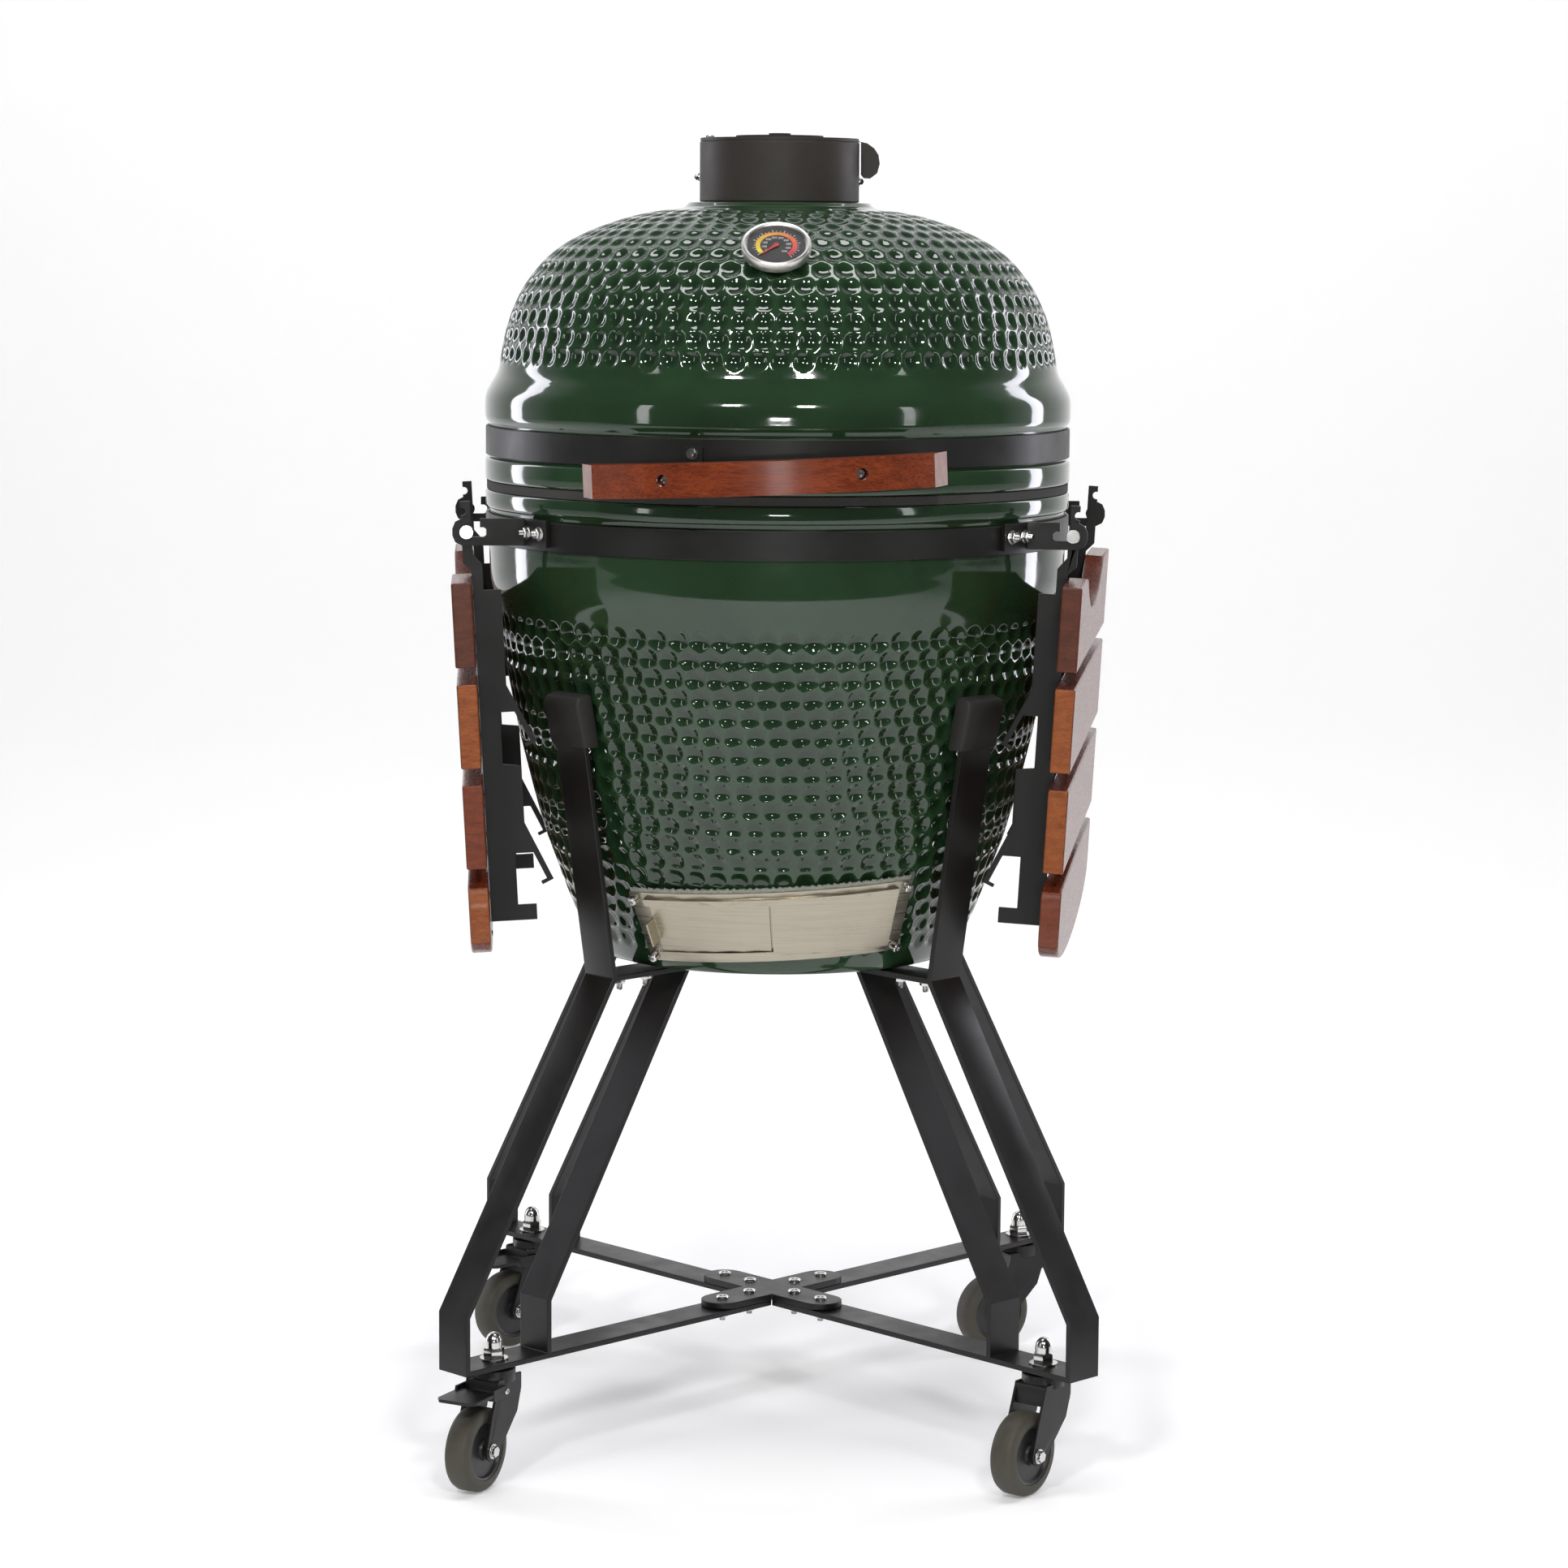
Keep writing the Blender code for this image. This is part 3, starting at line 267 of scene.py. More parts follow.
RED = plain("needle_red", (0.45, 0.022, 0.016), 0.40, 200.0, 0.05)
WHITE = plain("dial_white", (0.80, 0.80, 0.78), 0.5, 200.0, 0.05)
GLASS = clear_glass()


# ------------------------------------------------------------ mesh helpers

END_FACING = 0.8                          # a slat face turned this far along Y is end grain
WELD_DISTANCE = 0.000002
FLAT_ANGLE = math.radians(0.5)            # faces this close to one plane are joined
SHARP_ANGLE = math.radians(30)            # shading breaks at edges sharper than this
BEVEL_ANGLE = math.radians(32)            # and these are rounded
WASHER = 0.0012                           # top of a washer, over the face it lies on
# bolts, as width across the flats and height of the head
VENT_BOLT, LUG_BOLT, SHELF_BOLT = (0.0052, 0.0026), (0.0068, 0.0036), (0.0085, 0.0045)
AXLE_BOLT, BAND_BOLT, PLATE_BOLT = (0.0090, 0.0036), (0.0095, 0.0045), (0.0095, 0.0050)
# round screws, as radius and height of the head
INLET_RADIUS, FLAP_SCREW, GRIP_SCREW = 0.0042, (0.0045, 0.0025), (0.0044, 0.004)
CROSS_SCREW, PEDAL_SCREW, SLAT_SCREW = (0.0062, 0.0024), (0.003, 0.0014), (0.0034, 0.0016)
HEAD_SPIN = 0.2                           # a bolt head's turn, so that no flat faces front


def add_object(name, mesh, *materials):
    """A new object in the scene, with its materials in slot order."""
    made = bpy.data.objects.new(name, mesh)
    bpy.context.scene.collection.objects.link(made)
    for stuff in materials:
        mesh.materials.append(stuff)
    return made


def finished(name, shape, *materials, smooth=35.0):
    """A bmesh as an object, its faces out and its shading smooth."""
    bmesh.ops.recalc_face_normals(shape, faces=shape.faces[:])
    mesh = bpy.data.meshes.new(name)
    shape.to_mesh(mesh)
    shape.free()
    mesh.shade_smooth()
    mesh.set_sharp_from_angle(angle=math.radians(smooth))
    return add_object(name, mesh, *materials)


def grid_mesh(name, rings):
    """A closed mesh from an array of rings of points: (ring, column, xyz)."""
    count, columns = rings.shape[:2]
    mesh = bpy.data.meshes.new(name)
    index = np.arange(count * columns).reshape(count, columns)
    below = np.roll(index, -1, axis=0)
    faces = np.stack([index, np.roll(index, -1, axis=1), np.roll(below, -1, axis=1), below],
                     axis=-1).reshape(-1, 4)
    mesh.vertices.add(count * columns)
    mesh.vertices.foreach_set("co", rings.reshape(-1).astype(np.float32))
    mesh.loops.add(faces.size)
    mesh.loops.foreach_set("vertex_index", faces.reshape(-1).astype(np.int32))
    mesh.polygons.add(len(faces))
    mesh.polygons.foreach_set("loop_start", np.arange(0, faces.size, 4, dtype=np.int32))
    mesh.update(calc_edges=True)
    mesh.validate()
    return mesh


def turned(shape, profile, place=None, segments=48, slot=0):
    """Add a closed (radius, height) outline turned about Z to a bmesh."""
    place = place or Matrix.Identity(4)
    rings = []
    for radius, height in profile:
        count = 1 if radius == 0 else segments
        rings.append([shape.verts.new(place @ Vector((radius * math.cos(TURN * k / count),
                                                      radius * math.sin(TURN * k / count),
                                                      height))) for k in range(count)])
    for first, second in zip(rings, rings[1:] + rings[:1]):
        if len(first) == 1 and len(second) == 1:
            continue
        for k in range(segments):
            corners = [first[k % len(first)], first[(k + 1) % len(first)],
                       second[(k + 1) % len(second)], second[k % len(second)]]
            face = shape.faces.new(list(dict.fromkeys(corners)))
            face.material_index = slot
    return shape


def swept_plate(shape, point, span, across, heights, steps):
    """Add a plate to a bmesh: its section carried round a span of angles.

    point(angle, across, height) says where each corner of the section goes.
    """
    section = ((across[0], heights[0]), (across[1], heights[0]),
               (across[1], heights[1]), (across[0], heights[1]))
    rings = []
    for k in range(steps + 1):
        angle = span[0] + (span[1] - span[0]) * k / steps
        rings.append([shape.verts.new(point(angle, *corner)) for corner in section])
    for first, second in zip(rings, rings[1:]):
        for k in range(4):
            after = (k + 1) % 4
            shape.faces.new((first[k], second[k], second[after], first[after]))
    shape.faces.new(rings[0])
    shape.faces.new(rings[-1][::-1])
    return shape


def smooth_path(points, step):
    """Points about a step apart on a Catmull-Rom curve through the given ones."""
    known = [np.array(point, float) for point in points]
    ends = [2 * known[0] - known[1]] + known + [2 * known[-1] - known[-2]]
    out = []
    for k in range(1, len(ends) - 2):
        before, first, second, after = ends[k - 1:k + 3]
        count = max(1, round(float(np.linalg.norm(second - first)) / step))
        for j in range(count):
            t = j / count
            out.append(0.5 * (2 * first + (second - before) * t
                              + (2 * before - 5 * first + 4 * second - after) * t ** 2
                              + (3 * first - before - 3 * second + after) * t ** 3))
    out.append(known[-1])
    return out


def cut(target, tool):
    """Cut a tool's shape out of a target, with the solver for large closed meshes."""
    step = target.modifiers.new("cut", "BOOLEAN")
    step.operation = "DIFFERENCE"
    step.solver = "MANIFOLD"
    step.object = tool
    bpy.context.view_layer.update()
    evaluated = target.evaluated_get(bpy.context.evaluated_depsgraph_get())
    result = bpy.data.meshes.new_from_object(evaluated)
    target.modifiers.clear()
    target.data = result
    bpy.data.objects.remove(tool)


def attach(piece, body_name):
    """Let an extra piece ride with a body."""
    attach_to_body(piece, body_name)


def settle(piece, node):
    """Let a piece stand for a CAD node and ride with that node's body."""
    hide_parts(node)
    attach(piece, BODY_OF[node])
    return piece


def refine(node, stuff, width, segments=2, ends=None):
    """A CAD node's shape with its edges rounded; ends is the material of its end faces."""
    mesh = NODES[node].data.copy()
    shape = bmesh.new()
    shape.from_mesh(mesh)
    bmesh.ops.remove_doubles(shape, verts=shape.verts[:], dist=WELD_DISTANCE)
    bmesh.ops.dissolve_limit(shape, angle_limit=FLAT_ANGLE, verts=shape.verts[:],
                             edges=shape.edges[:])
    shape.to_mesh(mesh)
    shape.free()
    mesh.materials.clear()
    piece = add_object(node + "_look", mesh, stuff)
    if ends:
        mesh.materials.append(ends)
        for face in mesh.polygons:
            face.material_index = int(abs(face.normal.y) > END_FACING)
    mesh.shade_smooth()
    mesh.set_sharp_from_angle(angle=SHARP_ANGLE)
    edge = piece.modifiers.new("edge", "BEVEL")
    edge.width = width
    edge.segments = segments
    edge.limit_method = "ANGLE"
    edge.angle_limit = BEVEL_ANGLE
    edge.harden_normals = True
    return settle(piece, node)


def outward(angle):
    """The level direction at an angle about +Z from +X."""
    return Vector((math.cos(angle), math.sin(angle), 0.0))


def at_height(out, radius, height):
    """The point at a radius along a level direction, and at a height."""
    return out * radius + Vector((0, 0, height))


def frame_at(centre, direction, spin=0.0):
    """A matrix at a point whose +Z runs along a direction."""
    return (Matrix.Translation(Vector(centre))
            @ Vector(direction).to_track_quat("Z", "Y").to_matrix().to_4x4()
            @ Matrix.Rotation(spin, 4, "Z"))


def hexagon(shape, place, across, low, high):
    """A hexagonal nut or head with its corners turned down."""
    radius = across / math.sqrt(3)
    inset = 0.93 * radius
    fall = 0.12 * (high - low)
    turned(shape, [(inset, low), (radius, low + fall), (radius, high - fall), (inset, high),
                   (0.0, high), (0.0, low)], place, 6)


def bolt(shape, centre, direction, size, head, thread=0.0):
    """A washer, a hexagonal head and, if asked, the thread that stands out of it."""
    place = frame_at(centre, direction, HEAD_SPIN)
    turned(shape, [(0.0, 0.0002), (0.72 * size, 0.0002), (0.74 * size, WASHER),
                   (0.0, WASHER)], place, 24)
    hexagon(shape, place, size, WASHER, WASHER + head)
    if thread:
        profile = [(0.0, 0.001)]
        turns = max(3, int(thread / 0.001))
        for k in range(turns):
            height = WASHER + head + thread * k / turns
            profile += [(0.30 * size, height), (0.26 * size, height + 0.5 * thread / turns)]
        profile += [(0.22 * size, WASHER + head + thread), (0.0, WASHER + head + thread)]
        turned(shape, profile, place, 16)


def socket_screw(shape, centre, direction, radius, height):
    """A round head with a sunk socket."""
    turned(shape, [(0.0, 0.0), (radius, 0.0), (radius, height - 0.0008),
                   (radius - 0.0007, height), (0.5 * radius, height),
                   (0.45 * radius, height - 0.0018), (0.0, height - 0.0020)],
           frame_at(centre, direction), 24)


# ------------------------------------------------------------ ceramic body

# plates on the inlet's cone: degrees from the front, then slants and heights on the cone
WINDOW_DEGREES, WINDOW_SLANTS, WINDOW_DEPTHS = (-30, -3), (-0.023, 0.023), (-0.035, 0.02)
SEAL_DEGREES, SEAL_SLANTS, SEAL_HEIGHTS = (-37, 37), (-0.034, 0.0395), (0.0012, 0.0028)
SEAL_FRAY = 0.0011
LONG_WAVE, CROSS_WAVE, SHORT_WAVE = 911, 37, 2203     # radians per metre
# the inlet frame's corner screws, on the same cone, and how far two pairs of them stand out
SCREW_ANGLE, SCREW_SLANT, SCREW_SEAT = math.radians(35.6), 0.0305, 0.0043
SCREW_LENGTHS = (0.0065, 0.0085)
# the thermometer's hole through the lid: its radius, and where it starts and ends
STEM_HOLE, STEM_REACH = 0.005, (-0.08, 0.03)
# rings: node, inner and outer radius, material, slot
RINGS = (("base_band", 0.2665, 0.269, COAT, "black_coat"),
         ("lid_band", 0.2665, 0.269, COAT, "black_coat"),
         ("gasket", 0.250, 0.268, FELT, "felt"))
RING_SOFT = 0.0005                        # chamfer on a ring's outer edges
BAND_FACE = 0.2735                        # radius at which a band's bolts are seated


def dimple_depth(arc, radius, turn_angle, first, last):
    """How far each point is pressed in: 0 to 1, for rows between two arc lengths."""
    depth = np.zeros((len(arc), len(turn_angle)))
    rows = int((last - first - 2 * DIMPLE_RADIUS) / DIMPLE_ROW) + 1
    start = first + (last - first - (rows - 1) * DIMPLE_ROW) / 2
    for row in range(rows):
        middle = start + row * DIMPLE_ROW
        near = np.nonzero(np.abs(arc - middle) < DIMPLE_RADIUS)[0]
        ring = float(np.interp(middle, arc, radius))
        count = round(TURN * ring / DIMPLE_PITCH)
        share = turn_angle / TURN * count + 0.5 * (row % 2)
        across = (share - np.round(share)) * TURN * ring / count
        reach = (across[None, :] ** 2 + (arc[near, None] - middle) ** 2) / DIMPLE_RADIUS ** 2
        bowl = np.clip(1 - reach, 0, 1)
        depth[near] = np.maximum(depth[near], bowl)
    return depth


def ceramic(name, lead, curve, tail, zone, bare):
    """A shell whose curve carries dimples between two heights of the zone.

    Its last bare rings are unglazed fire clay.
    """
    first = [np.array(point) for point in lead]
    middle = smooth_path(curve, ROW_STEP)
    profile = np.array(first + middle + [np.array(point) for point in tail])
    step = np.linalg.norm(np.diff(profile, axis=0), axis=1)
    arc = np.concatenate([[0.0], np.cumsum(step)])
    inside = slice(len(first), len(first) + len(middle))
    heights = profile[inside, 1]
    low = float(np.interp(zone[0], heights, arc[inside]))
    high = float(np.interp(zone[1], heights, arc[inside]))
    angle = np.arange(COLUMNS) / COLUMNS * TURN
    depth = np.zeros((len(profile), COLUMNS))
    depth[inside] = dimple_depth(arc[inside], profile[inside, 0], angle, low, high)
    along = np.gradient(profile, axis=0)
    along /= np.linalg.norm(along, axis=1)[:, None] + 1e-9
    normal = np.stack([along[:, 1], -along[:, 0]], axis=1)
    radius = profile[:, 0, None] - depth * DIMPLE_DEPTH * normal[:, 0, None]
    height = profile[:, 1, None] - depth * DIMPLE_DEPTH * normal[:, 1, None]
    rings = np.stack([radius * np.cos(angle), radius * np.sin(angle), height], axis=-1)
    mesh = grid_mesh(name, rings)
    # the dimples' depth, which the glaze reads to paint shade into them
    dimple_shade = mesh.attributes.new("dimple_shade", "FLOAT", "POINT")
    dimple_shade.data.foreach_set("value", depth.reshape(-1).astype(np.float32))
    rows = np.arange(len(mesh.polygons)) // COLUMNS
    clay_rows = (rows >= len(profile) - bare) & (rows < len(profile) - 1)
    mesh.polygons.foreach_set("material_index", clay_rows.astype(np.int32))
    mesh.shade_smooth()
    return add_object(name, mesh, GLAZE, CLAY)


class DraftCone:
    """The cone on which the inlet door slides, from its joint's axis."""
    RADIUS = 0.1918
    SLOPE = math.atan(0.43)
    STEP = math.radians(1.5)

    def __init__(self):
        joint = JOINTS["draft_door_slide"]
        self.height = joint["pos_m"][2]
        self.tilt = math.atan2(-joint["axis"][0], joint["axis"][2])

    def point(self, angle, slant, height):
        """The point at an angle from the front, a way up the slope and a height off it."""
        sine, cosine = math.sin(self.SLOPE), math.cos(self.SLOPE)
        radius = self.RADIUS + slant * sine + height * cosine
        x, y = radius * math.sin(angle), -radius * math.cos(angle)
        rise = slant * cosine - height * sine
        return Vector((x * math.cos(self.tilt) - rise * math.sin(self.tilt), y,
                       self.height + x * math.sin(self.tilt) + rise * math.cos(self.tilt)))

    def normal(self, angle, slant):
        """The direction straight off the cone."""
        return self.point(angle, slant, 0.02) - self.point(angle, slant, 0.0)

    def patch(self, name, stuff, degrees, slants, heights):
        """A plate on the cone, between two angles, two slants and two heights."""
        span = [math.radians(edge) for edge in degrees]
        steps = max(2, int((span[1] - span[0]) / self.STEP))
        shape = swept_plate(bmesh.new(), self.point, span, slants, heights, steps)
        return finished(name, shape, stuff, smooth=30)


def shells():
    """The glazed base and lid, with the air window and the thermometer's hole cut out."""
    base = ceramic("base_ceramic", [], BASE_OUTER, BASE_RIM + BASE_INNER, BASE_DIMPLES,
                   len(BASE_INNER) - 1)
    cut(base, DraftCone().patch("window", GLAZE, WINDOW_DEGREES, WINDOW_SLANTS, WINDOW_DEPTHS))
    settle(base, "base_shell")
    lid = ceramic("lid_ceramic", LID_LIP, LID_OUTER, LID_NECK + LID_INNER, LID_DIMPLES,
                  len(LID_INNER) + 1)
    needle = JOINTS["needle_turn"]
    low, high = STEM_REACH
    shape = turned(bmesh.new(), [(0.0, low), (STEM_HOLE, low), (STEM_HOLE, high), (0.0, high)],
                   frame_at(needle["pos_m"], -Vector(needle["axis"])), 24)
    cut(lid, finished("stem", shape, GLAZE))
    settle(lid, "lid_shell")


def bands():
    """The two steel bands and the felt, as rings with soft outer edges."""
    for node, inner, outer, stuff, slot in RINGS:
        low, high = (corner.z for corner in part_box(node))
        shape = turned(bmesh.new(), [(inner, low), (outer - RING_SOFT, low),
                                     (outer, low + RING_SOFT), (outer, high - RING_SOFT),
                                     (outer - RING_SOFT, high), (inner, high)], segments=256)
        settle(finished(node + "_look", shape, stuff), node)


def air_inlet():
    """The frame and door on their seal, and the frame's four screws."""
    cone = DraftCone()
    seal = cone.patch("draft_seal", SEAL, SEAL_DEGREES, SEAL_SLANTS, SEAL_HEIGHTS)
    fray(seal, SEAL_FRAY)
    attach(seal, "base")
    refine("draft_frame", STAINLESS, 0.0003)
    refine("draft_door", STAINLESS, 0.0004)
    shape = bmesh.new()
    for side in (-1, 1):
        for end in (-1, 1):
            angle, slant = end * SCREW_ANGLE, side * SCREW_SLANT
            length = SCREW_LENGTHS[0] if end * side > 0 else SCREW_LENGTHS[1]
            socket_screw(shape, cone.point(angle, slant, SCREW_SEAT), cone.normal(angle, slant),
                         INLET_RADIUS, length)
    attach(finished("draft_screws", shape, CHROME), "base")


def body():
    """The two glazed shells, the felt between them and what sits inside."""
    shells()
    bands()
    refine("fire_box", CLAY, 0.002)
    for node in ("charcoal_grate", "cooking_grate"):
        refine(node, CAST, 0.0008)
    air_inlet()


def fray(piece, amount):
    """Roughen a cut edge of fibre with two fixed waves."""
    shape = bmesh.new()
    shape.from_mesh(piece.data)
    bmesh.ops.subdivide_edges(shape, edges=shape.edges[:], cuts=2, use_grid_fill=True)
    for vert in shape.verts:
        wave = (math.sin(LONG_WAVE * vert.co.x + CROSS_WAVE * vert.co.z)
                + math.sin(SHORT_WAVE * vert.co.x))
        vert.co.z += 0.5 * amount * wave
    shape.to_mesh(piece.data)
    shape.free()


# ---------------------------------------------------------------- top vent

# the chimney's wall, flange and spigot, as (radius, height) points
CHIMNEY = [(0.0722, 1.1365), (0.073, 1.1375), (0.073, 1.1902), (0.0722, 1.191),
           (0.0706, 1.191), (0.070, 1.1902), (0.070, 1.1395), (0.052, 1.1395),
           (0.052, 1.115), (0.054, 1.115), (0.054, 1.1365)]
# its two screws, as place and direction
CHIMNEY_SCREWS = (((-0.0731, 0.0, 1.1590), (-1, 0, 0)), ((0.0725, 0.0085, 1.1560), (1, 0.12, 0)))
FLAP_TOP = 1.1943


def top_vent():
    """Chimney, flap and daisy wheel with the screws between them."""
    shape = turned(bmesh.new(), CHIMNEY, segments=160)
    settle(finished("chimney_look", shape, IRON), "chimney")
    refine("vent_flap", IRON, 0.0006)
    refine("vent_wheel", CAST, 0.0007)
    shape = bmesh.new()
    for place, direction in CHIMNEY_SCREWS:
        bolt(shape, place, direction, *VENT_BOLT, 0.0012)
    attach(finished("chimney_screws", shape, CHROME), "lid")
    shape = bmesh.new()
    x, y = JOINTS["vent_flap_swing"]["pos_m"][:2]
    socket_screw(shape, (x, y, FLAP_TOP), (0, 0, 1), *FLAP_SCREW)
    attach(finished("flap_screw", shape, CHROME), "vent_flap")


# ------------------------------------------------------------- thermometer

# turned outlines along the dial's axis, as (radius, height) points
CASE = [(0.0, -0.060), (0.0035, -0.060), (0.004, -0.058), (0.004, 0.001), (0.029, 0.001),
        (0.0301, 0.0016), (0.0305, 0.003), (0.0305, 0.0088), (0.0300, 0.0102),
        (0.0288, 0.0110), (0.0272, 0.0106), (0.0262, 0.0096), (0.0258, 0.0072), (0.0, 0.0072)]
DIAL_PLATE = [(0.0, 0.0073), (0.0255, 0.0073), (0.0255, 0.0078), (0.0, 0.0078)]
PANE = [(0.0, 0.0095), (0.0255, 0.0095), (0.0258, 0.0099), (0.0255, 0.0103), (0.0, 0.0106)]
NEEDLE_CAP = [(0.0, 0.0091), (0.0024, 0.0091), (0.0018, 0.0093), (0.0, 0.0094)]
SCALE_START, SCALE_SWEEP = -130, 270      # degrees clockwise from the top of the dial
ARC_SECTORS = 12                          # patches of colour in the arc
ARC_RADII = (0.0142, 0.0182)
MARK_STEP = 10                            # degrees between marks; every third one is long
MARK_HALF = 0.012                         # half a mark's width, in radians
MARK_START, SHORT_MARK, LONG_MARK = 0.0186, 0.0198, 0.0212
INK_HEIGHTS = (0.0079, 0.0081)            # of the arc and the marks
SECTOR_STEP = 0.08                        # radians between a sector's corners
NUMBER_COUNT, NUMBER_STEP = 10, 30        # degrees between numbers
NUMBER_VALUE = 50                         # the first number, and the rise from each to the next
NUMBER_RADIUS, NUMBER_SIZE, NUMBER_HEIGHT = 0.0108, 0.0032, 0.0080


def thermometer():
    """Bezel, dial with its coloured arc and marks, needle and glass."""
    joint = JOINTS["needle_turn"]
    axis = -Vector(joint["axis"])
    place = Matrix.Translation(Vector(joint["pos_m"])) @ Matrix.Rotation(
        math.atan2(-axis.y, axis.z), 4, "X")
    case = finished("thermometer_look", turned(bmesh.new(), CASE, place, 96), BEZEL)
    settle(case, "thermometer_case")
    dial = finished("thermometer_dial", turned(bmesh.new(), DIAL_PLATE, place, 64), DIAL)
    for k in range(ARC_SECTORS):
        blend = k / (ARC_SECTORS - 1)
        colour = (0.80 - 0.12 * blend, 0.62 * (1 - blend) ** 1.4 + 0.03, 0.03 + 0.02 * blend)
        stuff = plain("arc_%02d" % k, colour, 0.5, 200.0, 0.05)
        span = [math.radians(SCALE_START + SCALE_SWEEP * edge / ARC_SECTORS)
                for edge in (k, k + 1)]
        wedge = dial_sector(bmesh.new(), place, ARC_RADII, span)
        attach(finished("dial_arc_%02d" % k, wedge, stuff), "lid")
    marks = bmesh.new()
    for k in range(SCALE_SWEEP // MARK_STEP + 1):
        turn = math.radians(SCALE_START + MARK_STEP * k)
        reach = (MARK_START, LONG_MARK if k % 3 == 0 else SHORT_MARK)
        dial_sector(marks, place, reach, (turn - MARK_HALF, turn + MARK_HALF))
    ring = finished("dial_marks", marks, WHITE)
    for number in range(NUMBER_COUNT):
        turn = math.radians(SCALE_START + NUMBER_STEP * number)
        label(place, "%d" % (NUMBER_VALUE * (number + 1)), NUMBER_RADIUS * math.sin(turn),
              NUMBER_RADIUS * math.cos(turn))
    attach(dial, "lid")
    attach(ring, "lid")
    pane = finished("thermometer_glass", turned(bmesh.new(), PANE, place, 64), GLASS)
    attach(pane, "lid")
    refine("thermometer_needle", RED, 0.0001, 1)
    cap = finished("needle_cap", turned(bmesh.new(), NEEDLE_CAP, place, 24), RED)
    attach(cap, "needle")


def dial_sector(shape, place, radii, span):
    """Add a flat piece of ring on the dial; its angles run clockwise from the top."""
    def point(turn, radius, height):
        return place @ Vector((radius * math.sin(turn), radius * math.cos(turn), height))
    steps = max(1, int((span[1] - span[0]) / SECTOR_STEP))
    return swept_plate(shape, point, span, radii, INK_HEIGHTS, steps)


def label(place, words, x, y):
    """A small number on the dial."""
    curve = bpy.data.curves.new("number_" + words, "FONT")
    curve.body = words
    curve.size = NUMBER_SIZE
    curve.extrude = 0.0001
    curve.resolution_u = 3
    curve.align_x = "CENTER"
    curve.align_y = "CENTER"
    curve.materials.append(WHITE)
    text = bpy.data.objects.new("number_" + words, curve)
    bpy.context.scene.collection.objects.link(text)
    text.matrix_world = place @ Matrix.Translation((x, y, NUMBER_HEIGHT))
    attach(text, "lid")


# ------------------------------------------------------- handle and hinges

# the grip: heading and height of its middle, its tilt, and its radius about +Z
GRIP_HEADING, GRIP_TILT = math.radians(-91.8), math.radians(2.5)
GRIP_HEIGHT, GRIP_ARC = 0.902, 0.315
GRIP_SCREW_REACH, GRIP_SCREW_SEAT = 0.083, 0.3125     # from the middle, and the seats' radius
GRIP_END_REACH, GRIP_END_FACING = 0.13, 0.55          # a cut end's faces lie past these
LUG_HEADING, LUG_SEAT, LUG_HEIGHT = math.radians(-105.0), 0.2732, 0.9190
HINGE_SPREAD = 10.5                       # degrees between the rear hinge's bolts
HINGE_HEIGHTS = (("base", 0.8425), ("lid", 0.919))


def handle():
    """The wooden grip with its two sunk screws and the strap behind it."""
    grip = refine("handle", GRIP, 0.0016, 3)
    grip.data.materials.append(GRIP_END)
    middle = (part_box("handle")[0].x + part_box("handle")[1].x) / 2
    for face in grip.data.polygons:
        side = face.center.x - middle
        facing = face.normal.x * math.copysign(1.0, side)
        if abs(side) > GRIP_END_REACH and facing > GRIP_END_FACING:
            face.material_index = 1
    refine("handle_bracket", COAT, 0.0006)
    shape = bmesh.new()
    for side in (-1, 1):
        out = outward(GRIP_HEADING + side * math.asin(GRIP_SCREW_REACH / GRIP_ARC))
        height = GRIP_HEIGHT + side * GRIP_SCREW_REACH * math.sin(GRIP_TILT)
        socket_screw(shape, at_height(out, GRIP_SCREW_SEAT, height), out, *GRIP_SCREW)
    out = outward(LUG_HEADING)
    bolt(shape, at_height(out, LUG_SEAT, LUG_HEIGHT), out, *LUG_BOLT, 0.003)
    attach(finished("handle_screws", shape, CHROME), "lid")


def lid_hinge():
    """The rear brackets, pin and springs, with the bolts through the bands."""
    for node in ("hinge_lower", "hinge_upper"):
        refine(node, COAT, 0.0006)
    refine("hinge_pin", CHROME, 0.0006)
    for node in ("spring_left", "spring_right"):
        coil = NODES[node]
        coil.data.materials.clear()
        coil.data.materials.append(CHROME)
        coil.data.shade_smooth()
    for body_name, height in HINGE_HEIGHTS:
        shape = bmesh.new()
        for turn in (-HINGE_SPREAD, 0.0, HINGE_SPREAD):
            out = outward(math.radians(90 + turn))
            bolt(shape, at_height(out, BAND_FACE, height), out, *BAND_BOLT)
        attach(finished("hinge_bolts_" + body_name, shape, CHROME), body_name)


# -------------------------------------------------------------------- cart

# radii of the fasteners along each leg's heading, and the heights that they sit at
CROSS_RADII, CROSS_UNDERSIDE = (0.030, 0.065), 0.107
UPPER_RADII, UPPER_UNDERSIDE = (0.164, 0.196), 0.440
FOOT_RADIUS, FOOT_TOP = 0.346, 0.112
# the caster stem's washer and its domed nut's cap, as (radius, height) points
STEM_WASHER = [(0.0045, 0.0002), (0.0125, 0.0002), (0.0127, 0.0016), (0.0045, 0.0016)]
STEM_CAP = [(0.0, 0.0100), (0.0074, 0.0100), (0.0076, 0.0150), (0.0071, 0.0185),
            (0.0058, 0.0215), (0.0038, 0.0236), (0.0018, 0.0246), (0.0, 0.0248)]
